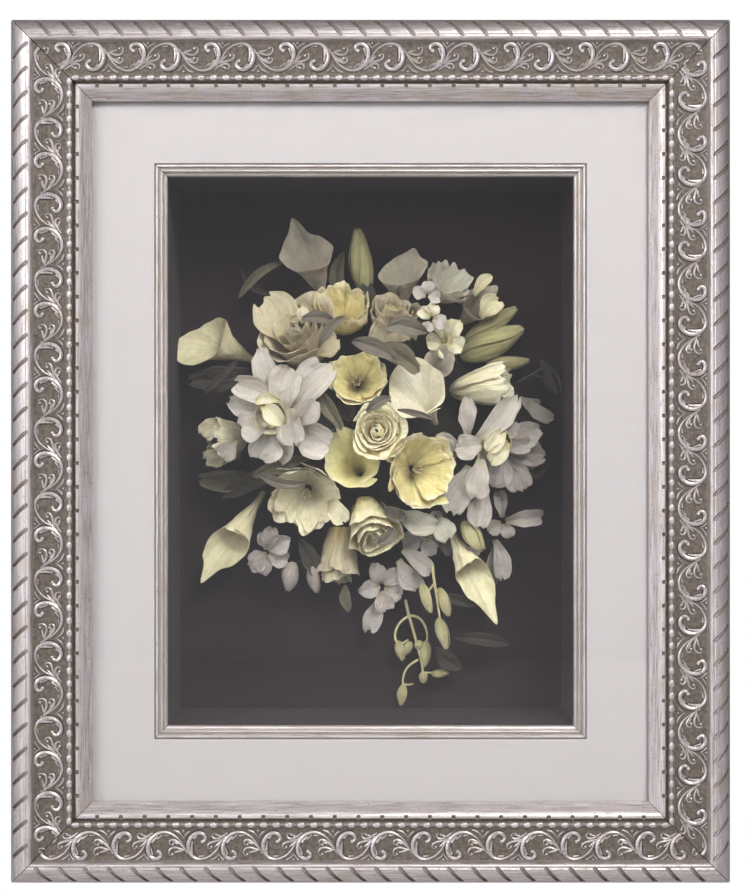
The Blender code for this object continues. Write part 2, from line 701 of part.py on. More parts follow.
def place_blooms(mound):
    bpy.context.view_layer.update()
    behind = [mound, bpy.data.objects["mount_board"]]
    placed = [BVHTree.FromPolygons(*world_triangles(obj)) for obj in behind]
    for name, (spot, heading, lift, roll, forward) in PLACES.items():
        if name in FLAT_BLOOMS:
            turn = facing_eye()
        elif name in SPRAYS:
            turn = Matrix.Identity(4)
        else:
            turn = turned(heading, lift, roll)
        settle(bpy.data.objects[name], placed, spot, turn, forward * MM)


def main():
    clear_scene()
    collection = bpy.data.collections.new("framed_bouquet")
    bpy.context.scene.collection.children.link(collection)
    mitred_frame("rail", MOULDING_SECTION, FRAME_WIDTH, FRAME_HEIGHT, "silver_leaf", MOULDING_BACK)
    make_glazing_and_mat()
    make_liner()
    make_box()
    mound = make_mound()
    make_callas()
    make_buds()
    make_roses()
    make_cups()
    make_stars()
    make_leaves()
    make_sprays()
    place_blooms(mound)


main()
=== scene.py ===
import math

import bpy
from mathutils import Matrix, Vector, noise


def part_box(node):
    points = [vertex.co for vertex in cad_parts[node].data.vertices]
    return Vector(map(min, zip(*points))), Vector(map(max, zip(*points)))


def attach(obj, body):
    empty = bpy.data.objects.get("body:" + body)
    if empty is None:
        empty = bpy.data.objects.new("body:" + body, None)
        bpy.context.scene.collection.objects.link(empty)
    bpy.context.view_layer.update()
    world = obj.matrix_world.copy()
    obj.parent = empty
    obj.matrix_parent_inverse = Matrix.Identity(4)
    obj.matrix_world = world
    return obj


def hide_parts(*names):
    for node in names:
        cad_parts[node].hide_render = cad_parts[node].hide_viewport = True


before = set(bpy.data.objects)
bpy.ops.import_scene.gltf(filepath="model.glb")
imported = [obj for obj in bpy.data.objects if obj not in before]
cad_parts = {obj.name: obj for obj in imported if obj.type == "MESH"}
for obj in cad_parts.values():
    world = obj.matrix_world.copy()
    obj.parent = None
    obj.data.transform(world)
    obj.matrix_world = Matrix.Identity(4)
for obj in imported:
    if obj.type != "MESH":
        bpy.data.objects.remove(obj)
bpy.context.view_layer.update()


# The picture: the frame hangs on a plain ground above a pale floor, seen square on. Soft light comes
# from above on the right, the left side and the floor are bright, and the ceiling is dark.

MM = 0.001
PHOTO_SIZE = (750, 891)
FRAME_MIDDLE = (370.5, 451.25)
FRAME_WIDTH = 508 * MM
FRAME_HEIGHT = 609.6 * MM
METRES_PER_PIXEL = FRAME_WIDTH / 720
EYE_DISTANCE = 1.25
EDGE_FORWARD = 120 * MM
SENSOR = 24


def seen_at(u, v, forward):
    """The point this far in front of the wall that the picture shows at pixel (u, v)."""
    spread = METRES_PER_PIXEL * (EYE_DISTANCE + EDGE_FORWARD - forward) / EYE_DISTANCE
    return Vector(((u - FRAME_MIDDLE[0]) * spread, -forward, (FRAME_MIDDLE[1] - v) * spread))


def area_light(name, place, aim, size, power, colour):
    """A square lamp that looks from its place towards the aim."""
    bpy.ops.object.light_add(type="AREA", location=place)
    lamp = bpy.context.object
    lamp.name = name
    lamp.data.size = size
    lamp.data.energy = power
    lamp.data.color = colour
    lamp.rotation_euler = (Vector(aim) - Vector(place)).to_track_quat("-Z", "Y").to_euler()


picture_middle = seen_at(PHOTO_SIZE[0] / 2, PHOTO_SIZE[1] / 2, EDGE_FORWARD)
bpy.ops.object.camera_add(location=picture_middle + Vector((0, -EYE_DISTANCE, 0)),
                          rotation=(math.radians(90), 0, 0))
camera = bpy.context.object
camera.data.sensor_fit = "VERTICAL"
camera.data.sensor_height = SENSOR
camera.data.lens = SENSOR * EYE_DISTANCE / (PHOTO_SIZE[1] * METRES_PER_PIXEL)
bpy.context.scene.camera = camera
bpy.context.scene.view_settings.view_transform = "Standard"

area_light("key_light", (0.95, -2.5, 1.95), (0, -0.06, 0), 0.8, 48, (1.0, 0.965, 0.94))
area_light("left_light", (-1.8, -2.0, 0.9), (0, -0.06, 0), 1.0, 20, (1.0, 0.97, 0.96))

world = bpy.data.worlds.new("studio")
bpy.context.scene.world = world
world.use_nodes = True
sky = world.node_tree.nodes
sky_links = world.node_tree.links
direction = sky.new("ShaderNodeTexCoord").outputs["Generated"]
part_of = sky.new("ShaderNodeSeparateXYZ")
sky_links.new(direction, part_of.inputs[0])
from_below = sky.new("ShaderNodeMapRange")
from_below.inputs["From Min"].default_value = 0.7
from_below.inputs["From Max"].default_value = -0.7
from_below.inputs["To Min"].default_value = 0.05
from_below.inputs["To Max"].default_value = 0.8
sky_links.new(part_of.outputs["Z"], from_below.inputs["Value"])
from_left = sky.new("ShaderNodeMapRange")
from_left.inputs["From Min"].default_value = 0.3
from_left.inputs["From Max"].default_value = -0.9
from_left.inputs["To Min"].default_value = 0.0
from_left.inputs["To Max"].default_value = 0.45
sky_links.new(part_of.outputs["X"], from_left.inputs["Value"])
both = sky.new("ShaderNodeMath")
sky_links.new(from_below.outputs[0], both.inputs[0])
sky_links.new(from_left.outputs[0], both.inputs[1])
wall_shade = sky.new("ShaderNodeMapRange")
wall_shade.inputs["From Min"].default_value = -0.15
wall_shade.inputs["From Max"].default_value = 0.1
wall_shade.inputs["To Min"].default_value = 1.0
wall_shade.inputs["To Max"].default_value = 0.12
sky_links.new(part_of.outputs["Y"], wall_shade.inputs["Value"])
shaded = sky.new("ShaderNodeMath")
shaded.operation = "MULTIPLY"
sky_links.new(both.outputs[0], shaded.inputs[0])
sky_links.new(wall_shade.outputs[0], shaded.inputs[1])
sky_links.new(shaded.outputs[0], sky["Background"].inputs["Strength"])
sky["Background"].inputs["Color"].default_value = (0.97, 0.97, 1.0, 1)
plain_ground = sky.new("ShaderNodeBackground")
plain_ground.inputs["Color"].default_value = (1, 1, 1, 1)
plain_ground.inputs["Strength"].default_value = 1.0
seen_direct = sky.new("ShaderNodeLightPath")
choice = sky.new("ShaderNodeMixShader")
sky_links.new(seen_direct.outputs["Is Camera Ray"], choice.inputs[0])
sky_links.new(sky["Background"].outputs[0], choice.inputs[1])
sky_links.new(plain_ground.outputs[0], choice.inputs[2])
sky_links.new(choice.outputs[0], sky["World Output"].inputs["Surface"])

bpy.ops.mesh.primitive_plane_add(size=3, location=(0, -1.1, -0.45))
floor = bpy.context.object
floor.name = "floor"


# Materials are all made the same way: a Principled shader, with the values that are the same all
# over set on it here, and colours and heights that change linked to it afterwards.


class NodeTree:
    """A node tree while it is being made, with short ways to add the nodes that it needs."""

    def __init__(self, tree):
        self.nodes = tree.nodes
        self.links = tree.links

    def add(self, kind, links=(), **values):
        """A node of this kind, its inputs set by name or linked from the pairs (input, socket)."""
        node = self.nodes.new("ShaderNode" + kind)
        for socket, value in values.items():
            node.inputs[socket.replace("_", " ")].default_value = value
        for socket, source in links:
            self.links.new(source, node.inputs[socket])
        return node

    def placed(self, group, links=(), **values):
        """One of the shared node groups, with this tree's own values."""
        node = self.nodes.new("ShaderNodeGroup")
        node.node_tree = group
        for socket, value in values.items():
            node.inputs[socket.replace("_", " ")].default_value = value
        for socket, source in links:
            self.links.new(source, node.inputs[socket])
        return node

    def noise(self, where, scale, detail=3, stretch=(1, 1, 1), roughness=0.55):
        """Cloudy values from 0 to 1, from coordinates that may be stretched."""
        return self.placed(cloudy, [("Where", where)], Stretch=stretch, Scale=scale, Detail=detail,
                           Roughness=roughness).outputs[0]

    def ramp(self, value, stops):
        """Colours for a value from 0 to 1, from a list of (place, colour)."""
        node = self.add("ValToRGB", [("Fac", value)])
        elements = node.color_ramp.elements
        while len(elements) < len(stops):
            elements.new(1)
        for element, (place, colour) in zip(elements, stops):
            element.position = place
            element.color = (*colour, 1)
        return node.outputs["Color"]

    def mix(self, share, first, second, blend="MIX"):
        """One colour over another; each is a socket or a plain colour, and so is the share."""
        node = self.nodes.new("ShaderNodeMix")
        node.data_type = "RGBA"
        node.blend_type = blend
        for socket, value in ((0, share), (6, first), (7, second)):
            if isinstance(value, bpy.types.NodeSocket):
                self.links.new(value, node.inputs[socket])
            elif isinstance(value, tuple):
                node.inputs[socket].default_value = (*value, 1)
            else:
                node.inputs[socket].default_value = value
        return node.outputs[2]

    def span(self, value, low, high, to_low=0.0, to_high=1.0):
        """The value spread from one range to another."""
        node = self.add("MapRange", [("Value", value)], From_Min=low, From_Max=high,
                        To_Min=to_low, To_Max=to_high)
        return node.outputs[0]

    def sum(self, operation, first, second):
        """Two values put together; each is a socket or a number."""
        node = self.nodes.new("ShaderNodeMath")
        node.operation = operation
        node.use_clamp = True
        for socket, value in enumerate((first, second)):
            if isinstance(value, bpy.types.NodeSocket):
                self.links.new(value, node.inputs[socket])
            else:
                node.inputs[socket].default_value = value
        return node.outputs[0]

    def object_place(self):
        return self.add("TexCoord").outputs["Object"]


def new_group(name, inputs, outputs):
    """An empty node group with these named sockets, each a name and its kind."""
    group = bpy.data.node_groups.new(name, "ShaderNodeTree")
    for direction, sockets in (("INPUT", inputs), ("OUTPUT", outputs)):
        for socket, kind in sockets:
            group.interface.new_socket(socket, in_out=direction, socket_type="NodeSocket" + kind)
    return group, group.nodes.new("NodeGroupInput"), group.nodes.new("NodeGroupOutput")


cloudy, taken, given = new_group(
    "cloudy_pattern",
    [("Where", "Vector"), ("Stretch", "Vector"), ("Scale", "Float"), ("Detail", "Float"),
     ("Roughness", "Float")], [("Value", "Float")])
tree = NodeTree(cloudy)
stretched = tree.add("Mapping", [("Vector", taken.outputs["Where"]), ("Scale", taken.outputs["Stretch"])])
clouded = tree.add("TexNoise", [("Vector", stretched.outputs[0])] + [
    (socket, taken.outputs[socket]) for socket in ("Scale", "Detail", "Roughness")])
tree.links.new(clouded.outputs["Fac"], given.inputs["Value"])


class Finish(NodeTree):
    """A material while it is being made."""

    def __init__(self, name, roughness, **constants):
        self.material = bpy.data.materials.new(name)
        self.material.use_nodes = True
        super().__init__(self.material.node_tree)
        self.shader = self.nodes["Principled BSDF"]
        self.shader.inputs["Roughness"].default_value = roughness
        for socket, value in constants.items():
            self.shader.inputs[socket.replace("_", " ")].default_value = value

    def colour(self, source):
        self.links.new(source, self.shader.inputs["Base Color"])

    def rough(self, source):
        self.links.new(source, self.shader.inputs["Roughness"])

    def bump(self, height, distance, strength=1.0):
        node = self.add("Bump", [("Height", height)], Distance=distance, Strength=strength)
        self.links.new(node.outputs[0], self.shader.inputs["Normal"])


def dress(obj, finish):
    """Gives a carried-over node this finish."""
    obj.data.materials.clear()
    obj.data.materials.append(finish.material)


pale = Finish("pale_floor", 0.8)
place = pale.object_place()
pale.colour(pale.mix(pale.noise(place, 3), (0.84, 0.84, 0.84), (0.88, 0.88, 0.88)))
dress(floor, pale)


# The box and its back: four boards of stained wood, glued at the corners, with a panel of brown
# hardboard let in behind. They hide behind the moulding and show only from the side and the back.

stained = Finish("stained_wood", 0.55, Coat_Weight=0.15)
place = stained.object_place()
figure = stained.noise(place, 9, 4, (1, 1, 0.12))
pores = stained.noise(place, 90, 3, (1, 1, 0.05))
grain_colour = stained.ramp(figure, [(0.3, (0.055, 0.032, 0.02)), (0.55, (0.10, 0.06, 0.036)),
                                     (0.75, (0.14, 0.088, 0.052))])
stained.colour(stained.mix(stained.span(pores, 0.35, 0.7, 0.0, 0.5), grain_colour, (0.03, 0.018, 0.012)))
stained.rough(stained.span(figure, 0.2, 0.8, 0.45, 0.65))
stained.bump(pores, 0.0004, 0.5)
for side in ("left", "right", "bottom", "top"):
    dress(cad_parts[f"box_side_{side}"], stained)

hardboard = Finish("hardboard", 0.7)
place = hardboard.object_place()
fibres = hardboard.noise(place, 160, 5)
clouds = hardboard.noise(place, 12, 3)
hardboard.colour(hardboard.mix(hardboard.span(fibres, 0.35, 0.65), (0.16, 0.095, 0.05),
                               hardboard.mix(clouds, (0.27, 0.165, 0.09), (0.34, 0.21, 0.12))))
hardboard.bump(fibres, 0.0003, 0.6)
dress(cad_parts["back_panel"], hardboard)


# The two hangers: pressed steel plates with a keyhole, zinc-plated, screwed flush into the back
# edges of the box sides.

zinc = Finish("zinc_plate", 0.35, Metallic=1.0)
place = zinc.object_place()
spangle = zinc.noise(place, 260, 2)
zinc.colour(zinc.ramp(spangle, [(0.3, (0.42, 0.43, 0.45)), (0.7, (0.66, 0.67, 0.68))]))
zinc.rough(zinc.span(zinc.noise(place, 60, 4), 0.3, 0.7, 0.25, 0.5))
zinc.bump(zinc.noise(place, 900, 2, (1, 1, 0.1)), 0.00005, 0.4)
for side in ("left", "right"):
    dress(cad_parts[f"keyhole_plate_{side}"], zinc)


# The mount board and the four lined walls: stiff card covered with dark aubergine suede cloth, whose
# nap catches the light in soft patches.

suede = Finish("aubergine_suede", 0.95, Sheen_Weight=0.03, Sheen_Roughness=0.6,
               Specular_IOR_Level=0.1)
place = suede.object_place()
nap = suede.noise(place, 420, 3)
brushed = suede.noise(place, 14, 4)
cloth = suede.mix(brushed, (0.0150, 0.0085, 0.0125), (0.031, 0.0200, 0.024))
suede.colour(suede.mix(suede.span(nap, 0.35, 0.65, 0.0, 0.2), cloth, (0.040, 0.028, 0.033)))
suede.bump(nap, 0.00005, 0.2)
for name in ("mount_board", "liner_left", "liner_right", "liner_bottom", "liner_top"):
    dress(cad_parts[name], suede)


# The fillet: four thin lengths of silvered wood with three fine ridges, mitred round the mat's window
# and glued under its edge.

GAP = 0.3 * MM
FILLET_WIDTH = 12.6
FILLET_SIGHT = 8.6
WINDOW = (307, 409)
FILLET_BACK = 102.5
FILLET_SECTION = [
    (0, 0), (0, 5.6), (4.6, 5.6), (4.6, 8), (5.3, 8.6), (6.2, 8.6), (6.9, 7.6), (7.3, 7.0), (8.0, 7.0),
    (8.5, 7.3), (9.2, 7.4), (9.8, 7.0), (10.3, 6.2), (11, 5.9), (11.9, 5.5), (12.6, 4.4), (12.6, 0),
]
SIDES = {"top": 0, "right": 90, "bottom": 180, "left": -90}


def nothing_selected():
    bpy.ops.object.select_all(action="DESELECT")


def only(obj):
    nothing_selected()
    obj.select_set(True)
    bpy.context.view_layer.objects.active = obj


def apply_all(obj):
    """Applies the modifiers of a finished piece, in order."""
    only(obj)
    for modifier in list(obj.modifiers):
        bpy.ops.object.modifier_apply(modifier=modifier.name)


def mitred_length(section, length, back):
    """A moulding along X, cut to mitres, its outer edge at z = 0 and its inner edge below."""
    bpy.ops.mesh.primitive_circle_add(vertices=len(section), fill_type="NGON")
    rail = bpy.context.object
    half = length / 2
    for vert, (inset, height) in zip(rail.data.vertices, section):
        vert.co = Vector((GAP / MM - half + inset, -back - height, -inset)) * MM
    bpy.ops.object.mode_set(mode="EDIT")
    bpy.ops.mesh.select_all(action="SELECT")
    bpy.ops.mesh.extrude_region_move()
    bpy.ops.object.mode_set(mode="OBJECT")
    for vert in rail.data.vertices:
        if vert.select:
            vert.co.x = -vert.co.x
    bpy.ops.object.mode_set(mode="EDIT")
    bpy.ops.mesh.select_all(action="SELECT")
    bpy.ops.mesh.normals_make_consistent(inside=False)
    bpy.ops.object.mode_set(mode="OBJECT")
    return rail


def write_section(obj, wear_and_shade_of):
    """Keeps on each point its place along, across and up the section, and its wear, which is below zero where shadow
    is painted.
    """
    obj.data.attributes.new("section", "FLOAT_VECTOR", "POINT")
    obj.data.attributes.new("wear_and_shade", "FLOAT", "POINT")
    sections = obj.data.attributes["section"].data
    wear_and_shade_values = obj.data.attributes["wear_and_shade"].data
    for vert, section, wear_and_shade_value in zip(obj.data.vertices, sections, wear_and_shade_values):
        inset, height = -vert.co.z / MM, -vert.co.y / MM
        section.vector = (vert.co.x / MM, inset, height)
        wear_and_shade_value.value = wear_and_shade_of(inset, height)


def set_length(rail, prefix, side, across):
    """Turns a length to its side of the rectangle and fixes it to the body."""
    rail.name = f"{prefix}_{side}_dressed"
    turn = Matrix.Rotation(math.radians(SIDES[side]), 4, "Y")
    rail.data.transform(turn @ Matrix.Translation((0, 0, across / 2 * MM)))
    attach(rail, "root")
    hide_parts(f"{prefix}_{side}")


silver = Finish("silver_leaf", 0.35)
where = silver.add("Attribute")
where.attribute_name = "section"
wear_and_shade = silver.add("Attribute")
wear_and_shade.attribute_name = "wear_and_shade"
place = silver.object_place()
streaks = silver.noise(where.outputs["Vector"], 0.9, 4, (0.05, 1.2, 1.2))
specks = silver.noise(place, 420, 3)
clouds = silver.noise(place, 45, 4)
leafed = silver.ramp(streaks, [(0.28, (0.44, 0.395, 0.37)), (0.45, (0.70, 0.645, 0.65)),
                               (0.62, (0.88, 0.825, 0.84)), (0.8, (0.95, 0.895, 0.88))])
leafed = silver.mix(silver.span(clouds, 0.52, 0.72, 0.0, 0.55), leafed, (0.64, 0.55, 0.43))
leafed = silver.mix(silver.span(specks, 0.60, 0.72, 0.0, 0.5), leafed, (0.34, 0.295, 0.30))
ground = silver.mix(silver.span(specks, 0.35, 0.68), (0.118, 0.098, 0.082), (0.23, 0.194, 0.160))
# Painted shadow: where the wear value is below zero, on the low beds round the scroll strokes, the ground turns dark
# violet for the shade at the scrolls' sides.
painted_shadow = silver.span(wear_and_shade.outputs["Fac"], -0.4, -0.05, 1.0, 0.0)
ground = silver.mix(painted_shadow, ground, (0.075, 0.062, 0.072))
worn_through = silver.span(wear_and_shade.outputs["Fac"], 0.05, 0.8)
silver.colour(silver.mix(worn_through, ground, leafed))
silver.rough(silver.span(specks, 0.3, 0.7, 0.36, 0.56))
silver.links.new(silver.span(wear_and_shade.outputs["Fac"], 0.1, 0.7, 0.1, 0.8), silver.shader.inputs["Metallic"])
silver.bump(silver.mix(0.5, specks, streaks), 0.0004, 0.35)


def fillet_wear(inset, height):
    """The crests of the ridges are rubbed and the flats between them keep the patina."""
    height -= FILLET_BACK
    return 0.75 if height > 8.3 or 9 < inset < 9.5 or 11.5 < inset else 0.2


for side in SIDES:
    window, other = WINDOW if side in ("top", "bottom") else WINDOW[::-1]
    outset = 2 * (FILLET_WIDTH - FILLET_SIGHT)
    fillet = mitred_length(FILLET_SECTION, window + outset, FILLET_BACK)
    write_section(fillet, fillet_wear)
    dress(fillet, silver)
    only(fillet)
    bpy.ops.object.shade_smooth_by_angle(angle=math.radians(40))
    set_length(fillet, "fillet", side, other + outset)


# The mat: white museum board with a cool surface, one window cut in it, lying on the fillet.

board = Finish("mat_board", 0.9, Specular_IOR_Level=0.2)
place = board.object_place()
fibre = board.noise(place, 500, 4)
board.colour(board.mix(fibre, (0.44, 0.42, 0.428), (0.478, 0.458, 0.466)))
board.bump(fibre, 0.0001, 0.5)
dress(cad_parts["mat_board"], board)


# The glass: one clear 2 mm pane in the rabbet, held by the moulding's lip. Lamps shine through it.

glass = Finish("picture_glass", 0.03, Transmission_Weight=1.0, IOR=1.45, Specular_IOR_Level=0.12)
faint = glass.noise(glass.object_place(), 30, 2)
glass.colour(glass.mix(faint, (0.985, 0.99, 0.99), (0.995, 1.0, 1.0)))
clear = glass.nodes.new("ShaderNodeBsdfTransparent")
lamp_ray = glass.nodes.new("ShaderNodeLightPath")
either = glass.nodes.new("ShaderNodeMixShader")
glass.links.new(lamp_ray.outputs["Is Shadow Ray"], either.inputs[0])
glass.links.new(glass.shader.outputs[0], either.inputs[1])
glass.links.new(clear.outputs[0], either.inputs[2])
glass.links.new(either.outputs[0], glass.nodes["Material Output"].inputs["Surface"])
dress(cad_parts["glass"], glass)


# The moulding: four mitred lengths of carved wood, gessoed and silver-leafed, its outer roll cut with
# slanting flutes, its frieze carved with running scrolls, then a row of beads and a notched lip.

MOULDING_BACK = 102
MOULDING_SECTION = [
    (0, 0), (0, 16), (0.3, 17.4), (0.9, 19.2), (1.8, 21.2), (3.2, 23.4), (5, 25.4), (7, 27.1),
    (9, 28.5), (11, 29.4), (12.6, 29.8), (13.2, 29.5), (13.8, 29.7), (14.6, 30), (15.4, 29.8), (16.1, 29),
    (16.6, 27.8), (17.2, 25.6), (18.4, 25.2), (29, 24.6), (39.6, 24), (40.6, 24.2), (41.4, 25.3),
    (42.4, 26.1), (43.5, 26.1), (44.4, 25.3), (45, 23), (45.3, 21.5), (46, 21.5), (46.3, 22.9), (47, 23.6),
    (48.4, 23.6), (50, 22.8), (52, 20.5), (54, 17.8), (55.2, 16.2), (56.2, 15.4), (57, 14.2), (57, 12),
    (50.9, 12), (50.9, 0),
]
SCROLL_PITCH = 52.5
FLUTE_PITCH = 17
BEAD_PITCH = 8.8
NOTCH_PITCH = 16.7

# The scroll's strokes, each a thickness and the points (along, across) of its line in millimetres
SCROLL_STROKES = [
    (1.15, [(18.0, 24.8), (15.1, 22.4), (16.8, 19.4), (20.8, 18.9), (24.0, 21.4), (25.2, 25.9),
            (24.1, 30.8), (20.9, 34.9), (17.0, 37.0), (13.0, 37.6), (9.6, 36.9), (5.1, 34.4),
            (1.9, 30.8), (-0.3, 27.2), (-3.0, 22.5)]),
    (1.15, [(38.9, 30.6), (36.4, 32.6), (37.8, 35.8), (41.4, 37.2), (45.5, 35.8), (48.4, 32.2),
            (49.5, 27.7), (48.2, 23.2), (45.0, 19.6), (41.0, 18.5), (36.5, 19.4), (32.0, 21.8),
            (28.4, 25.9), (26.4, 30.4), (22.8, 34.5)]),
    (0.75, [(25.0, 32.5), (28.5, 31.3), (32.0, 30.8), (34.9, 29.5), (35.7, 27.3), (34.2, 25.4),
            (32.9, 26.6)]),
    (0.75, [(21.6, 36.9), (25.2, 34.4), (28.8, 32.6), (31.6, 33.2), (32.6, 35.3), (31.0, 37.2),
            (29.4, 36.2)]),
    (0.75, [(-0.5, 25.0), (3.3, 26.3), (6.5, 27.0), (9.4, 25.9), (10.5, 23.2), (9.4, 20.8),
            (7.8, 21.6)]),
    (0.75, [(-1.2, 25.5), (2.4, 29.5), (6.0, 32.0), (8.7, 32.4), (10.3, 30.4), (9.2, 28.4),
            (7.6, 29.0)]),
    (0.95, [(25.8, 31.2), (28.0, 29.3), (30.4, 27.2)]),
    (0.8, [(26.5, 34.9), (28.3, 35.0), (29.3, 35.6)]),
    (0.95, [(0.8, 24.6), (3.5, 24.3), (6.2, 23.2)]),
    (0.8, [(4.0, 29.4), (6.0, 30.2), (7.6, 30.7)]),
    (0.7, [(32.9, 18.4), (29.7, 19.4), (27.2, 22.3)]),
    (0.7, [(24.0, 18.2), (26.3, 19.6), (27.3, 22.6)]),
    (0.7, [(7.2, 38.9), (4.5, 38.3), (1.5, 35.8), (-0.4, 33.0)]),
    (0.7, [(-4.4, 38.0), (-1.7, 36.4), (-0.5, 33.8)]),
    (1.1, [(46.4, 21.6), (47.3, 26.8), (46.0, 31.4)]),
    (0.9, [(45.2, 33.0), (42.6, 35.4)]),
    (0.9, [(41.6, 20.6), (37.6, 21.0)]),
    (1.0, [(21.6, 22.0), (23.3, 27.4)]),
    (1.0, [(22.0, 30.2), (18.2, 34.7)]),
    (0.9, [(18.6, 32.6), (14.6, 35.6)]),
    (0.8, [(13.4, 35.0), (9.8, 35.4)]),
]
SCROLL_BALLS = [(1.5, 17.6, 24.0), (1.5, 39.2, 30.9), (1.1, 32.8, 27.2), (1.1, 29.2, 35.8),
                (1.1, 7.6, 22.2), (1.1, 7.4, 28.9), (0.9, 27.6, 18.5), (0.9, 0.1, 38.3)]
SCROLL_SINK = 0.1
SCROLL_FULLNESS = 1.3
# Each stroke lies on a low, wider bed, coloured as painted shadow round the scrolls: how much wider it is, and how
# far it is pressed down.
SHADOW_BED_WIDTH = 1.0
SHADOW_BED_FLATNESS = 0.06
STROKE_TAPER = 0.45


def ground_height(inset):
    """The frieze's ground falls a little towards the picture."""
    return 25.2 - 1.2 * (inset - 18.4) / 21.2


def scroll_motif():
    """One repeat of the running scroll, standing on the frieze's ground, each stroke over a low, wider bed that
    carries painted shadow.
    """
    pieces = []
    shadow_beds = [(thickness * SCROLL_FULLNESS + SHADOW_BED_WIDTH, route, True) for thickness, route in SCROLL_STROKES]
    for thickness, route, flat in shadow_beds + [
            (thickness * SCROLL_FULLNESS, route, False) for thickness, route in SCROLL_STROKES]:
        bpy.ops.curve.primitive_nurbs_path_add()
        stroke = bpy.context.object
        curve = stroke.data
        curve.bevel_depth = thickness * MM
        curve.bevel_resolution = 0 if flat else 1
        curve.resolution_u = 3
        curve.use_fill_caps = True
        curve.splines.clear()
        spline = curve.splines.new("NURBS")
        spline.points.add(len(route) - 1)
        spline.use_endpoint_u = True
        spline.order_u = 3
        for number, (point, (along, across)) in enumerate(zip(spline.points, route)):
            from_end = number / (len(route) - 1)
            lift = ground_height(across) + (0 if flat else SCROLL_SINK * thickness)
            point.co = (along * MM, -(MOULDING_BACK + lift) * MM, -across * MM, 1)
            point.radius = STROKE_TAPER + (1 - STROKE_TAPER) * math.sin(math.pi * min(from_end + 0.18, 1))
        if flat:
            only(stroke)
            bpy.ops.object.convert(target="MESH")
            stroke = bpy.context.object
            for vert in stroke.data.vertices:
                ground = -(MOULDING_BACK + ground_height(-vert.co.z / MM)) * MM
                vert.co.y = ground + (vert.co.y - ground) * SHADOW_BED_FLATNESS
        pieces.append(stroke)
    for radius, along, across in SCROLL_BALLS:
        lift = ground_height(across) + SCROLL_SINK
        bpy.ops.mesh.primitive_uv_sphere_add(segments=10, ring_count=6, radius=radius * MM, location=(
            along * MM, -(MOULDING_BACK + lift) * MM, -across * MM))
        pieces.append(bpy.context.object)
    nothing_selected()
    for piece in pieces:
        piece.select_set(True)
    bpy.context.view_layer.objects.active = pieces[-1]
    bpy.ops.object.convert(target="MESH")
    bpy.ops.object.join()
    bpy.ops.object.transform_apply()
    return bpy.context.object


def repeated(piece, pitch, first, count):
    """The piece copied along X as one mesh, its first copy moved to this start."""
    piece.data.transform(Matrix.Translation((first * MM, 0, 0)))
    array = piece.modifiers.new("repeat", "ARRAY")
    array.count = count
    array.use_relative_offset = False
    array.use_constant_offset = True
    array.constant_offset_displace = (pitch * MM, 0, 0)
    apply_all(piece)
    return piece


def cut_to_mitres(piece, length):
    """Cuts an ornament at the two mitre planes of its length."""
    only(piece)
    bpy.ops.object.mode_set(mode="EDIT")
    for sign in (-1, 1):
        bpy.ops.mesh.select_all(action="SELECT")
        bpy.ops.mesh.bisect(plane_co=(sign * (length / 2 - 0.3) * MM, 0, 0), plane_no=(sign, 0, -1),
                            clear_outer=True, use_fill=True)
    bpy.ops.object.mode_set(mode="OBJECT")


def bead():
    """One long bead of the row between the frieze and the lip."""
    bpy.ops.mesh.primitive_uv_sphere_add(segments=12, ring_count=8, radius=1, location=(0, 0, 0))
    pad = bpy.context.object
    pad.scale = (3.3 * MM, 1.5 * MM, 2.0 * MM)
    bpy.ops.object.transform_apply()
    pad.data.transform(Matrix.Translation((0, -(MOULDING_BACK + 25.9) * MM, -42.8 * MM)))
    return pad


def cutter(size, rounding, place, turn):
    """A round-ended bar that cuts one flute or notch."""
    bpy.ops.mesh.primitive_cube_add(size=1)
    bar = bpy.context.object
    bar.scale = Vector(size) * MM
    bpy.ops.object.transform_apply()
    bevel = bar.modifiers.new("round", "BEVEL")
    bevel.width = rounding * MM
    bevel.segments = 3
    apply_all(bar)
    bar.data.transform(Matrix.Translation(Vector(place) * MM) @ turn)
    return bar


def section_height(inset):
    """How high the plain moulding stands at this inset."""
    front = MOULDING_SECTION[1:-4]
    for (start, low), (end, high) in zip(front, front[1:]):
        if start <= inset <= end and end > start:
            return low + (high - low) * (inset - start) / (end - start)
    return 0


def moulding_wear_and_shade(inset, height):
    """The roll, ridge and lip wear bright, the frieze, grooves and cuts keep the patina, and the low bed round each
    scroll stroke gets painted shadow.
    """
    if height - MOULDING_BACK < section_height(inset) - 0.4 and not 16.5 < inset < 45.4 and height > 115:
        return 0.0
    if 16.5 < inset < 41.2:
        above = height - MOULDING_BACK - ground_height(inset)
        # Points just off the ground lie on the bed round a stroke or at its foot: -0.5 there is painted shadow.
        return -0.5 if 0.01 < abs(above) < 0.2 else min(max(above / 1.1, 0.0), 1.0) * 0.8
    if 41.2 <= inset < 45.4:
        return min(max((height - MOULDING_BACK - 25.2) / 1.8, 0.0), 1.0) * 0.8
    return 0.1 if 45.2 <= inset < 46.1 else 1.0


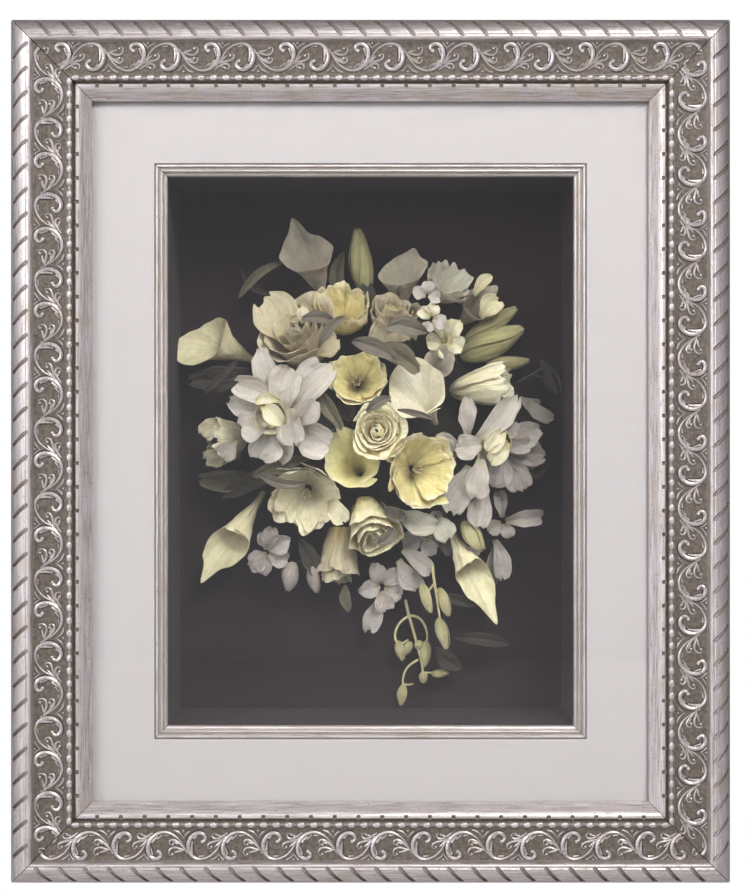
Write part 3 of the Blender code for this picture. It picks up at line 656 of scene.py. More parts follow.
def carved_rail(length):
    """One length of the moulding with its ornament."""
    rail = mitred_length(MOULDING_SECTION, length, MOULDING_BACK)
    dress(rail, silver)
    slant = Matrix.Rotation(math.radians(-37), 4, "Y")
    lean = Matrix.Rotation(math.radians(-39), 4, "X")
    flutes = int((length - 24) / FLUTE_PITCH)
    flute = cutter((3.0, 4.2, 19.5), 1.3, (0, -(MOULDING_BACK + 26.9), -7.8), lean @ slant)
    repeated(flute, FLUTE_PITCH, -(flutes - 1) / 2 * FLUTE_PITCH, flutes)
    notches = int((length - 104) / NOTCH_PITCH)
    notch = cutter((2.8, 2.6, 3.2), 0.5, (0, -(MOULDING_BACK + 23.9), -47.6), Matrix.Identity(4))
    repeated(notch, NOTCH_PITCH, -(notches - 1) / 2 * NOTCH_PITCH, notches)
    for bars in (flute, notch):
        cut = rail.modifiers.new("cut", "BOOLEAN")
        cut.operation = "DIFFERENCE"
        cut.object = bars
        apply_all(rail)
        bpy.data.objects.remove(bars)
    motifs = math.ceil(length / SCROLL_PITCH) + 1
    scrolls = repeated(scroll_motif(), SCROLL_PITCH, -motifs / 2 * SCROLL_PITCH, motifs)
    cut_to_mitres(scrolls, length)
    beads = math.ceil(length / BEAD_PITCH)
    row = repeated(bead(), BEAD_PITCH, -(beads - 1) / 2 * BEAD_PITCH, beads)
    cut_to_mitres(row, length)
    for ornament in (scrolls, row):
        dress(ornament, silver)
    nothing_selected()
    for piece in (scrolls, row, rail):
        piece.select_set(True)
    bpy.context.view_layer.objects.active = rail
    bpy.ops.object.join()
    write_section(rail, moulding_wear_and_shade)
    bpy.ops.object.shade_smooth_by_angle(angle=math.radians(40))
    return rail


for pair, length, across in ((("top", "bottom"), 508, 609.6), (("right", "left"), 609.6, 508)):
    rail = carved_rail(length)
    twin = rail.copy()
    twin.data = rail.data.copy()
    bpy.context.collection.objects.link(twin)
    for piece, side in zip((rail, twin), pair):
        set_length(piece, "rail", side, across)


# The foam mound: dry florist's foam in dark green, cut low and domed, glued to the mount board. The
# blooms and leaves are stuck into it and cover it.

foam = Finish("florist_foam", 0.95, Specular_IOR_Level=0.1)
place = foam.object_place()
cells = foam.noise(place, 900, 3)
stains = foam.noise(place, 60, 4)
foam.colour(foam.mix(foam.span(cells, 0.35, 0.65), (0.010, 0.009, 0.008),
                     foam.mix(stains, (0.018, 0.017, 0.012), (0.035, 0.031, 0.022))))
foam.bump(cells, 0.0012)
dress(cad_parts["foam_mound"], foam)


# The callas: nine white spathes, each a single leaf rolled round to a funnel, its rim rolled back and
# drawn out to a thin tail. Drying has left them olive cream and a little crumpled.

PETAL_THICKNESS = 0.4 * MM
CREASE_SIZES = ((0.05, 1.3), (0.13, 1.1), (0.33, 0.6), (0.75, 0.2))
RAGGED_EDGE = 0.10

tissue, taken, given = new_group(
    "petal_tissue",
    [("Throat", "Color"), ("Body", "Color"), ("Rim", "Color"), ("Aged", "Color"),
     ("Throat Reach", "Float"), ("Rim Wear", "Float"), ("Veins", "Float")],
    [("Colour", "Color"), ("Roughness", "Float"), ("Height", "Float")])
tree = NodeTree(tissue)
petal_place = tree.add("TexCoord")
along_petal = tree.add("SeparateXYZ", [("Vector", petal_place.outputs["UV"])])
mottle = tree.noise(petal_place.outputs["Object"], 260, 4, roughness=0.62)
blotch = tree.noise(petal_place.outputs["Object"], 48, 3)
fibres = tree.noise(petal_place.outputs["UV"], 1.0, 3, (34, 1.3, 1))
pleats = tree.noise(petal_place.outputs["UV"], 1.0, 2, (9, 1.6, 1))
reach = tree.sum("ADD", along_petal.outputs["Y"], tree.span(blotch, 0.3, 0.7, -0.08, 0.12))
inner = tree.add("MapRange", [("Value", reach), ("From Max", taken.outputs["Throat Reach"])],
                 From_Min=0.02, To_Min=1.0, To_Max=0.0)
colour = tree.mix(inner.outputs[0], taken.outputs["Body"], taken.outputs["Throat"])
edge_of = tree.sum("MULTIPLY", tree.span(reach, 0.80, 1.0), taken.outputs["Rim Wear"])
colour = tree.mix(edge_of, colour, taken.outputs["Rim"])
age = tree.add("Attribute")
age.attribute_name = "age"
dried = tree.sum("MULTIPLY", tree.sum("ADD", age.outputs["Fac"], tree.span(blotch, 0.35, 0.75, -0.3, 0.4)), 0.8)
colour = tree.mix(dried, colour, taken.outputs["Aged"])
vein_share = tree.sum("MULTIPLY", tree.span(fibres, 0.45, 0.72), taken.outputs["Veins"])
colour = tree.mix(vein_share, colour, taken.outputs["Aged"])
# Darker along the pleats: painted shade in the creases.
colour = tree.mix(tree.span(pleats, 0.38, 0.66, 0.0, 0.5), colour, (0.66, 0.62, 0.50), "MULTIPLY")
colour = tree.mix(tree.span(mottle, 0.46, 0.72, 0.0, 0.42), colour, taken.outputs["Aged"])
tree.links.new(colour, given.inputs["Colour"])
tree.links.new(tree.span(mottle, 0.3, 0.7, 0.55, 0.8), given.inputs["Roughness"])
tree.links.new(tree.mix(0.3, tree.mix(0.5, pleats, fibres), mottle), given.inputs["Height"])


def petal_finish(name, throat, body, rim, aged, reach=0.3, rim_wear=0.5, veins=0.25):
    """Dried petal: one colour down the throat, one for the body, one at the rim, and age over all."""
    finish = Finish(name, 0.65, Subsurface_Weight=0.12, Subsurface_Scale=0.003, Specular_IOR_Level=0.3,
                    Sheen_Weight=0.1)
    look = finish.placed(tissue, Throat=(*throat, 1), Body=(*body, 1), Rim=(*rim, 1), Aged=(*aged, 1),
                         Throat_Reach=reach, Rim_Wear=rim_wear, Veins=veins)
    finish.colour(look.outputs["Colour"])
    finish.rough(look.outputs["Roughness"])
    finish.bump(look.outputs["Height"], 0.0028, 1.0)
    return finish


def smooth(t):
    t = min(max(t, 0), 1)
    return t * t * (3 - 2 * t)


def sheet(shape, across=12, along=14, crumple=0.6, seed=0.0, age=0.2):
    """One petal: shape(u, v) gives its point in millimetres, and drying crumples and frays its rim."""
    nothing_selected()
    bpy.ops.mesh.primitive_grid_add(x_subdivisions=across, y_subdivisions=along, size=1)
    petal = bpy.context.object
    petal.data.attributes.new("age", "FLOAT", "POINT")
    shift = Vector((seed * 7.31, seed * 3.17, seed * 5.73))
    for vert, dryness in zip(petal.data.vertices, petal.data.attributes["age"].data):
        u, v = vert.co.x + 0.5, vert.co.y + 0.5
        fray = max(0.5 + noise.noise((11 * u, seed, 0.3)) + 0.5 * noise.noise((29 * u, seed, 1.7)), 0)
        point = Vector(shape(u, v * (1 - RAGGED_EDGE * min(crumple, 1.5) * fray * v**3)))
        crease = Vector()
        for size, depth in CREASE_SIZES:
            crease += depth * noise.noise_vector(point * size + shift)
        vert.co = (point + crease * crumple * (0.25 + 0.75 * v)) * MM
        dryness.value = age
    return petal


def bloom_of(name, petals, finish, thickness=PETAL_THICKNESS, rounding=1):
    """Joins the petals to one bloom and gives them their thickness."""
    nothing_selected()
    for petal in petals:
        petal.select_set(True)
    bloom = petals[0]
    bpy.context.view_layer.objects.active = bloom
    if len(petals) > 1:
        bpy.ops.object.join()
    bloom.name = name + "_bloom"
    shell = bloom.modifiers.new("thickness", "SOLIDIFY")
    shell.thickness = thickness
    shell.offset = 0
    if rounding:
        soft = bloom.modifiers.new("round", "SUBSURF")
        soft.levels = soft.render_levels = rounding
    apply_all(bloom)
    bpy.ops.object.shade_smooth()
    dress(bloom, finish)
    return bloom


def turned(heading, lift, roll=0):
    """The turn of a bloom: its heading in the picture, how far it lifts to the eye, and its roll."""
    heading, lift = math.radians(heading), math.radians(lift)
    in_picture = Vector((math.cos(heading), 0, math.sin(heading)))
    to_eye = Vector((0, -1, 0))
    axis = in_picture * math.cos(lift) + to_eye * math.sin(lift)
    front = to_eye * math.cos(lift) - in_picture * math.sin(lift)
    return Matrix((front, axis.cross(front), axis)).transposed().to_4x4() @ Matrix.Rotation(
        math.radians(roll), 4, "Z")


def set_bloom(bloom, node, spot, turn):
    """Sets a bloom at its pixel of the picture, at the depth of its solid."""
    low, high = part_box(node)
    depth = -(low[1] + high[1]) / 2
    bloom.data.transform(Matrix.Translation(seen_at(*spot, depth)) @ turn)
    nearest = min(vert.co.y for vert in bloom.data.vertices)
    furthest = max(vert.co.y for vert in bloom.data.vertices)
    bloom.data.transform(Matrix.Translation((0, -depth - (nearest + furthest) / 2, 0)))
    fix_bloom(bloom, node)


def fix_bloom(bloom, node):
    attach(bloom, "root")
    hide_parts(node)


def spathe(length, mouth, tip, flare, seed, age):
    """A calla's funnel, its mouth rolled back and its tail drawn out."""
    throat = 4

    def shape(u, v):
        angle = (u - 0.5) * (1.98 + 0.30 * smooth(2 * v - 1)) * math.pi
        toward_tip = 0.5 + 0.5 * math.cos(angle)
        tail = math.exp(-(angle / 0.24) ** 2)
        reach = length * (0.70 + 0.30 * toward_tip**2) + tip * v * (0.5 * math.exp(-(angle / 0.6) ** 2) + 1.0 * tail)
        radius = throat * (0.45 + 0.55 * v) + (mouth - throat) * smooth(v) ** 1.3
        roll_back = max(v - 0.6, 0) / 0.4
        radius += mouth * flare * roll_back**2 * (0.35 + 0.65 * toward_tip)
        radius *= 1 + 0.2 * (u - 0.5) * smooth(3 * v - 1)
        height = reach * v - mouth * flare * 0.62 * roll_back**2.4 * (1 - 0.8 * toward_tip)
        height += 0.05 * mouth * math.sin(3 * angle + seed) * roll_back
        return (radius * math.cos(angle), radius * math.sin(angle), height - length / 2)

    return sheet(shape, 34, 18, 1.0, seed, age)


calla_white = petal_finish("calla_white", (0.40, 0.38, 0.20), (0.72, 0.68, 0.54), (0.80, 0.74, 0.50),
                           (0.46, 0.41, 0.29), 0.45, 0.6, 0.3)
# A darker, greyer copy of the calla finish: painted shade on the callas that wear it, in the upper half of the box.
calla_painted_shade = petal_finish("calla_painted_shade", (0.20, 0.185, 0.12), (0.33, 0.30, 0.24), (0.52, 0.475, 0.37),
                          (0.23, 0.20, 0.145), 0.5, 0.9, 0.35)
calla_olive = petal_finish("calla_olive", (0.40, 0.37, 0.16), (0.80, 0.735, 0.49), (0.88, 0.81, 0.52),
                           (0.50, 0.44, 0.27), 0.45, 0.6, 0.3)
calla_yellow = petal_finish("calla_yellow", (0.12, 0.10, 0.02), (0.66, 0.60, 0.27), (0.80, 0.76, 0.48),
                            (0.50, 0.43, 0.16), 0.5, 0.8, 0.15)
# Each calla: its solid, slot, finish, length, mouth, tip, flare, age, pixel, heading, lift, roll
for number, (name, slot, finish, length, mouth, tip, flare, age, spot, *turn) in enumerate([
        ("calla_top_left", "white_petal", calla_painted_shade, 56, 15, 13, 0.6, 0.1, (314, 270), 108, 20, 192),
        ("calla_top_right", "white_petal", calla_painted_shade, 54, 14, 2, 0.5, 0.1, (402, 288), 90, 16, 150),
        ("calla_left", "white_petal", calla_olive, 62, 17, 9, 0.55, 0.05, (222, 347), 156, 18, 222),
        ("calla_right", "white_petal", calla_white, 48, 17, 6, 0.55, 0.0, (424, 402), 120, 40, 180),
        ("calla_centre", "yellow_petal", calla_yellow, 36, 16, 7, 0.6, 0.0, (357, 466), 110, 60, 190),
        ("calla_low_left", "white_petal", calla_olive, 70, 12, 19, 0.45, 0.0, (240, 528), 238, 27, 170),
        ("calla_low_right", "white_petal", calla_olive, 70, 11, 19, 0.4, 0.0, (463, 558), 297, 25, 180),
        ("calla_small", "cream_petal", calla_painted_shade, 28, 9, 4, 0.45, 0.3, (436, 371), 70, 50, 180),
        ("calla_side", "cream_petal", calla_painted_shade, 38, 10, 5, 0.5, 0.2, (472, 312), 42, 34, 180)]):
    bloom = bloom_of(name, [spathe(length, mouth, tip, flare, 1.7 * number + 1, age)], finish)
    set_bloom(bloom, name, spot, turned(*turn))


# The roses: five, their petals wound tight at the heart and rolled back at the rim, creamed by drying.

GOLDEN_TURN = 2.4


def rose(radius, height, layers, flare, seed, age, crumple=1.4, heart=1.4, dome=0.12):
    """A rose's petals from the heart outwards, none quite round the same centre."""


    def core(u, v):
        angle = 2 * math.pi * u
        r = 0.24 * radius * math.sin(math.pi * (0.04 + 0.955 * v)) ** 0.6 * (1 + 0.17 * math.sin(3 * angle + 8 * v))
        return (r * math.cos(angle), r * math.sin(angle), height * (0.97 * (1 - dome) * v - 0.5))

    petals = [sheet(core, 18, 14, 0.7, seed, 0.0)]
    for number in range(layers):
        t = number / (layers - 1)
        uneven = math.sin(2.9 * number + seed)
        ring = (heart + (radius - heart) * t**0.85) * (1 + 0.06 * uneven)
        top = height * (1 - dome * (1 - t) ** 2 - 0.16 * t**3 + 0.03 * math.sin(4.3 * number + seed))
        middle = GOLDEN_TURN * number + seed + 0.3 * uneven
        wrap = math.radians(215 - 85 * t)
        shift = 0.09 * radius * (1 - 0.6 * t)
        aside = (shift * math.cos(middle), shift * math.sin(middle))

        def shape(u, v):
            side = abs(2 * u - 1)
            angle = middle + (u - 0.5) * wrap * (0.62 + 0.38 * math.sin(0.55 * math.pi * v))
            foot = 0.55 * ring
            lip = max(v - 0.62, 0) / 0.38
            r = foot + (ring - foot) * math.sin(v * math.pi / 2)
            r *= 1 + 0.16 * (u - 0.5) + flare * (0.35 + 0.65 * t * t) * lip**2 * (1 - 0.35 * side**2)
            r += 0.045 * radius * math.sin(9 * u + number) * lip
            r *= 1 - 0.85 * max(0, 1 - 5 * t) * v
            rise = top * v * (1 - 0.14 * side**3 * v) - 0.10 * height * t * lip**2.5
            return (r * math.cos(angle) + aside[0], r * math.sin(angle) + aside[1], rise - height / 2)

        petals.append(sheet(shape, 16, 11, crumple * (0.5 + 0.5 * t), seed + number, age * (0.4 + 0.6 * t)))
    return petals


rose_cream = petal_finish("rose_cream", (0.48, 0.39, 0.13), (0.53, 0.475, 0.335), (0.62, 0.565, 0.42),
                          (0.38, 0.31, 0.165), 0.5, 0.8, 0.35)
rose_white = petal_finish("rose_white", (0.84, 0.70, 0.24), (0.90, 0.83, 0.54), (0.95, 0.90, 0.70),
                          (0.66, 0.55, 0.28), 0.6, 0.9, 0.35)
# Each rose: its solid, slot, finish, radius, height, petals, flare, age, pixel, heading, lift
for number, (name, slot, finish, radius, height, layers, flare, age, spot, *turn) in enumerate([
        ("rose_upper_left", "cream_petal", rose_cream, 27, 42, 12, 0.28, 0.1, (300, 338), 125, 46),
        ("rose_upper_right", "cream_petal", rose_cream, 17, 46, 11, 0.20, 0.2, (391, 322), 78, 40),
        ("rose_centre", "white_petal", rose_white, 19.5, 13, 18, 0.22, 0.0, (377, 431), 90, 82),
        ("rose_low", "cream_petal", rose_white, 20, 42, 11, 0.16, 0.05, (371, 527), 288, 42),
        ("rose_bud_low", "white_petal", rose_cream, 16, 48, 8, 0.02, 0.1, (339, 560), 266, 12)]):
    bloom = bloom_of(name, rose(radius, height, layers, flare, 2.3 * number + 0.5, age), finish)
    set_bloom(bloom, name, spot, turned(*turn))


# The lisianthus: seven cups of broad, thin petals with ruffled rims, the open ones with a dark throat
# and a tuft of stamens.


def ruffled_cup(radius, height, seed, age, petals=6, ruffle=0.12, crumple=1.6, tuft=True, flare=0.1):
    """The overlapping petals of one cup, and its stamens."""
    pieces = []
    for number in range(petals):
        middle = 2 * math.pi * number / petals + 0.35 * math.sin(3.1 * number + seed)
        ring = radius * (1 - 0.10 * (number % 2) + 0.05 * math.sin(5 * number + seed))
        wrap = 2 * math.pi / petals * 2.0

        def shape(u, v):
            side = 2 * u - 1
            angle = middle + (u - 0.5) * wrap * (1.1 - 0.1 * v)
            wave = math.sin(2.6 * math.pi * u + seed + number) + 0.8 * math.sin(6.7 * math.pi * u + 2 * seed)
            r = ring * (0.12 + 0.88 * math.sin(v * math.pi / 2)) * (1 + 0.08 * side)
            r *= 1 + flare * v**4 + 0.35 * ruffle * wave * v**4
            rise = height * v**1.5 * (1 - 0.10 * abs(side) ** 3) + ruffle * radius * wave * v**3
            return (r * math.cos(angle), r * math.sin(angle), rise - height / 2)

        pieces.append(sheet(shape, 18, 13, crumple, seed + 3.3 * number, age))
    if tuft:
        for number in range(9):
            angle, lean = GOLDEN_TURN * number, 0.9 + 0.5 * (number % 3)

            def stamen(u, v):
                around = 2 * math.pi * u
                stalk = 0.3 + 0.55 * math.exp(-((v - 0.86) / 0.1) ** 2)
                out = 1.0 + lean * 1.6 * v
                return (out * math.cos(angle) + stalk * math.cos(around),
                        out * math.sin(angle) + stalk * math.sin(around), height * (0.42 * v - 0.4))

            pieces.append(sheet(stamen, 6, 8, 0.1, seed + number, 0.1))
    return pieces


lisianthus_yellow = petal_finish("lisianthus_yellow", (0.10, 0.075, 0.02), (0.80, 0.70, 0.33),
                                 (0.93, 0.88, 0.66), (0.58, 0.47, 0.18), 0.45, 1.0, 0.45)
lisianthus_cream = petal_finish("lisianthus_cream", (0.17, 0.13, 0.05), (0.82, 0.76, 0.54),
                                (0.90, 0.86, 0.68), (0.54, 0.47, 0.28), 0.45, 0.9, 0.4)
lisianthus_grey = petal_finish("lisianthus_grey", (0.30, 0.28, 0.16), (0.63, 0.61, 0.52), (0.70, 0.67, 0.55),
                               (0.44, 0.41, 0.32), 0.4, 0.6, 0.35)
# Each: its solid, slot, finish, radius, height, age, petals, ruffle, crumple, tuft, flare, pixel, turn
for number, (name, slot, finish, radius, height, age, petals, ruffle, crumple, tuft, flare, spot,
             *turn) in enumerate([
        ("lisianthus_top", "yellow_petal", lisianthus_yellow, 21, 30, 0.15, 8, 0.08, 1.7, False, 0.0,
         (342, 315), 92, 46),
        ("lisianthus_faded", "white_petal", lisianthus_grey, 17, 24, 0.2, 6, 0.14, 2.0, False, 0.1,
         (446, 287), 60, 45),
        ("lisianthus_centre", "yellow_petal", lisianthus_yellow, 20, 16, 0.1, 6, 0.10, 1.5, True, 0.15,
         (357, 381), 95, 66),
        ("lisianthus_left", "cream_petal", lisianthus_cream, 18, 30, 0.2, 6, 0.10, 1.8, False, 0.0,
         (226, 440), 182, 20),
        ("lisianthus_low_left", "cream_petal", lisianthus_cream, 25, 20, 0.1, 7, 0.13, 2.0, True, 0.1,
         (305, 495), 250, 62),
        ("lisianthus_low_right", "yellow_petal", lisianthus_yellow, 24, 20, 0.0, 7, 0.14, 2.0, True, 0.2,
         (418, 470), 350, 65),
        ("lisianthus_right", "cream_petal", lisianthus_cream, 16, 50, 0.1, 5, 0.06, 1.6, False, 0.0,
         (482, 387), 8, 15)]):
    pieces = ruffled_cup(radius, height, 1.9 * number + 0.4, age, petals, ruffle, crumple, tuft, flare)
    set_bloom(bloom_of(name, pieces, finish), name, spot, turned(*turn))


# The open flat blooms: a gardenia, orchids, a double bloom and small florets. Each petal is laid in the
# picture from the pixel of its claw to the pixel of its tip, with its width in millimetres.


def round_petal(v):
    """A broad petal's share of its full width, from its claw to its rounded end."""
    return (0.36 + 0.64 * smooth(v / 0.5)) * math.sqrt(1 - 0.94 * (max(v - 0.62, 0) / 0.38) ** 2.2)


def pointed_petal(v):
    """The same for a petal or leaf that comes to a point."""
    return max(math.sin(math.pi * (0.05 + 0.93 * v)), 0) ** 0.85


def laid(base, tip, width, near, far, arch=2.0, bow=0.0, cup=0.14, fold=0.05, outline=round_petal,
         twist=0.0, crumple=1.3, seed=0.0, age=0.2, across=10, along=12):
    """A petal or leaf from one pixel to another, its claw and its tip at these depths."""
    start = seen_at(*base, near * MM) / MM
    end = seen_at(*tip, far * MM) / MM
    run = end - start
    eye = Vector((0, -1, 0))
    sideways = run.cross(eye).normalized()
    proud = sideways.cross(run).normalized()
    if proud.dot(eye) < 0:
        proud = -proud

    def shape(u, v):
        side = 2 * u - 1
        half = width / 2 * outline(v)
        hump = 4 * v * (1 - v)
        lean = math.radians(twist) * v
        out = sideways * math.cos(lean) + proud * math.sin(lean)
        up = proud * math.cos(lean) - sideways * math.sin(lean)
        point = start + run * v + proud * arch * hump + sideways * bow * hump
        rise = cup * width * side * side * outline(v) - fold * width * math.exp(-(side / 0.22) ** 2)
        rise += 0.035 * width * math.sin(9 * v + 3 * seed) * side
        return point + out * half * side + up * rise

    return sheet(shape, across, along, crumple * min(1.3, width / 13), seed, age)


def flower(name, slot, finish, depth, petals, **every):
    """An open bloom of laid petals: each (claw, tip, width, lift of its claw, of its tip, and more)."""
    pieces = [laid(base, tip, width, depth + near, depth + far, **{"seed": 1.7 * n + len(name), **every, **more})
              for n, (base, tip, width, near, far, more) in enumerate(petals)]
    fix_bloom(bloom_of(name, pieces, finish), name)


def free_piece(name, petals, finish):
    """Petals that lie on the blooms and have no solid of their own."""
    piece = bloom_of(name, petals, finish)
    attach(piece, "root")


def heart(name, spot, depth, radius, height, layers, seed, finish, heading=90, lift=75, flare=0.15, more=()):
    """The folded heart of an open bloom, set at a pixel of the picture."""
    petals = rose(radius, height, layers, flare, seed, 0.0, 0.8, 1.2, 0.3)
    move = Matrix.Translation(seen_at(*spot, depth * MM)) @ turned(heading, lift)
    for petal in petals:
        petal.data.transform(move)
    free_piece(name + "_heart", petals + list(more), finish)


petal_white = petal_finish("petal_white", (0.52, 0.47, 0.30), (0.60, 0.56, 0.52), (0.66, 0.62, 0.54),
                           (0.40, 0.36, 0.30), 0.3, 0.6, 0.35)
petal_cream = petal_finish("petal_cream", (0.60, 0.50, 0.18), (0.84, 0.79, 0.60), (0.88, 0.80, 0.48),
                           (0.58, 0.50, 0.28), 0.4, 1.0, 0.3)
petal_lilac = petal_finish("petal_lilac", (0.40, 0.37, 0.26), (0.53, 0.49, 0.47), (0.60, 0.56, 0.50),
                           (0.31, 0.275, 0.25), 0.4, 0.6, 0.5)
flower("gardenia", "white_petal", petal_white, 76, [
    ((270, 398), (260, 343), 17, 0, -2, dict(outline=pointed_petal, cup=0.2)),
    ((284, 412), (290, 364), 23, 3, 4, dict(bow=-2)),
    ((292, 408), (331, 361), 26, 3, 5, dict(bow=-2, cup=0.1)),
    ((298, 424), (314, 397), 17, 4, 12, dict(cup=0.45, bow=3)),
    ((296, 430), (332, 450), 27, -4, 1, dict(cup=0.22)),
    ((285, 428), (279, 468), 22, -3, -4, dict(outline=pointed_petal, bow=2)),
    ((268, 430), (258, 461), 25, 0, -1, dict(bow=-3)),
    ((290, 408), (297, 448), 20, 6, 6, dict(cup=0.18, bow=2)),
    ((268, 424), (237, 428), 24, 4, 5, dict(cup=0.16)),
    ((274, 402), (232, 383), 20, 1, 3, dict(cup=0.3, bow=2)),
    ((270, 408), (226, 399), 19, -1, -1, dict(outline=pointed_petal, cup=0.2, bow=-3)),
])
flower("orchid_right", "white_petal", petal_white, 56, [
    ((467, 436), (467, 396), 14, 0, 4, dict(cup=0.3)),
    ((474, 442), (519, 396), 17, 1, -1, dict(bow=2, cup=0.2)),
    ((482, 444), (453, 449), 19, 3, 5, dict(cup=0.12)),
    ((456, 458), (432, 437), 21, -3, -1, dict(cup=0.1, age=0.5)),
    ((481, 458), (474, 502), 18, 3, 5, dict(cup=0.2)),
    ((470, 466), (446, 516), 22, 0, -4, dict(cup=0.12)),
    ((484, 492), (476, 529), 19, -4, -7, dict(cup=0.16)),
])
flower("double_right", "yellow_petal", petal_lilac, 46, [
    ((508, 442), (542, 428), 21, 2, 0, dict(outline=pointed_petal, cup=0.2, age=0.3)),
    ((508, 450), (545, 456), 20, 0, -4, dict(cup=0.2, age=0.7)),
    ((506, 456), (524, 492), 19, 0, -3, dict(cup=0.2, age=0.5)),
    ((500, 452), (497, 490), 20, 2, 0, dict(cup=0.2, age=0.1)),
    ((500, 440), (517, 420), 15, 2, 4, dict(cup=0.3, age=0.3)),
    ((500, 444), (533, 474), 14, -2, -5, dict(cup=0.3, age=0.8)),
    ((503, 450), (532, 443), 12, 4, 5, dict(cup=0.4, age=0.4)),
])
flower("orchid_small", "white_petal", petal_cream, 52, [
    ((443, 339), (440, 319), 12, 0, 1, dict(cup=0.2, age=0.0)),
    ((446, 339), (461, 322), 14, 0, 3, dict(cup=0.2, age=0.0)),
    ((446, 342), (464, 348), 13, 0, 2, dict(cup=0.2)),
    ((444, 344), (447, 360), 13, 1, 1, dict(cup=0.2)),
    ((441, 342), (425, 343), 13, 1, 3, dict(cup=0.2, age=0.0)),
])
flower("orchid_low", "white_petal", petal_lilac, 35, [
    ((424, 532), (407, 514), 15, 0, 2, dict(cup=0.16, age=0.0)),
    ((427, 530), (446, 513), 16, 1, 3, dict(cup=0.2, age=0.0)),
    ((428, 534), (450, 541), 16, 0, 0, dict(outline=pointed_petal, cup=0.2)),
    ((425, 536), (432, 557), 13, 1, 0, dict(cup=0.2)),
    ((422, 535), (402, 545), 15, 0, 1, dict(cup=0.16, age=0.0)),
])
flower("floret_bottom", "cream_petal", petal_lilac, 31, [
    ((380, 586), (357, 592), 14, 0, 2, dict(outline=pointed_petal, cup=0.2, age=0.0)),
    ((380, 584), (376, 563), 13, 0, 2, dict(cup=0.3, age=0.0)),
    ((383, 584), (401, 570), 14, 1, 3, dict(cup=0.2, age=0.0)),
    ((384, 588), (404, 596), 15, 0, 1, dict(outline=pointed_petal, cup=0.2, age=0.2)),
    ((380, 592), (388, 612), 15, 0, 1, dict(cup=0.3, age=0.3)),
    ((379, 600), (367, 636), 15, -2, 0, dict(cup=0.2, age=-0.2)),
])
flower("floret_low_left", "cream_petal", petal_lilac, 36, [
    ((268, 555), (247, 567), 16, -3, -2, dict(cup=0.2, age=0.0)),
    ((265, 556), (262, 577), 12, 0, 0, dict(cup=0.3, outline=pointed_petal, age=0.5)),
    ((268, 554), (288, 562), 15, 0, 1, dict(cup=0.2, age=0.3)),
    ((268, 550), (292, 538), 15, 0, 3, dict(outline=pointed_petal, cup=0.3, age=0.3)),
    ((268, 550), (263, 531), 11, -1, 0, dict(cup=0.3, age=0.5)),
    ((266, 550), (272, 526), 12, 0, 2, dict(cup=0.3, age=0.5)),
])
flower("floret_right", "cream_petal", petal_lilac, 36, [
    ((505, 521), (546, 516), 14, 1, 1, dict(cup=0.45, fold=0.15, age=0.0)),
    ((502, 518), (498, 489), 10, 0, -2, dict(cup=0.4, age=0.3)),
    ((501, 523), (487, 531), 13, 1, 1, dict(cup=0.3, age=0.4)),
    ((504, 524), (509, 539), 11, 0, 0, dict(cup=0.3, age=0.2)),
    ((494, 546), (489, 592), 11, -6, -8, dict(cup=0.2, age=0.4)),
    ((494, 540), (503, 583), 13, -2, -2, dict(cup=0.4, age=0.1, bow=-2)),
])


heart("gardenia", (270, 417), 84, 13, 16, 7, 4.2, petal_cream, heading=225, lift=66, more=[
    laid((262, 405), (284, 424), 14, 91, 94, cup=0.3, arch=4, crumple=0.7, seed=9.1, age=0.0),
    laid((280, 402), (255, 402), 9, 90, 90, cup=0.3, arch=3, bow=3, crumple=0.7, seed=9.8, age=0.0)])
heart("double_right", (497, 445), 50, 15, 18, 7, 1.2, petal_cream, heading=200, lift=60, more=[
    laid((504, 430), (486, 452), 14, 58, 61, cup=0.3, arch=3, crumple=0.7, seed=5.1, age=0.0),
    laid((508, 442), (490, 464), 14, 58, 60, cup=0.3, arch=3, crumple=0.7, seed=6.1, age=0.0)])
heart("orchid_small", (443, 341), 53, 5, 8, 4, 2.2, petal_cream)
heart("orchid_low", (425, 533), 37, 5, 8, 4, 5.1, petal_cream)
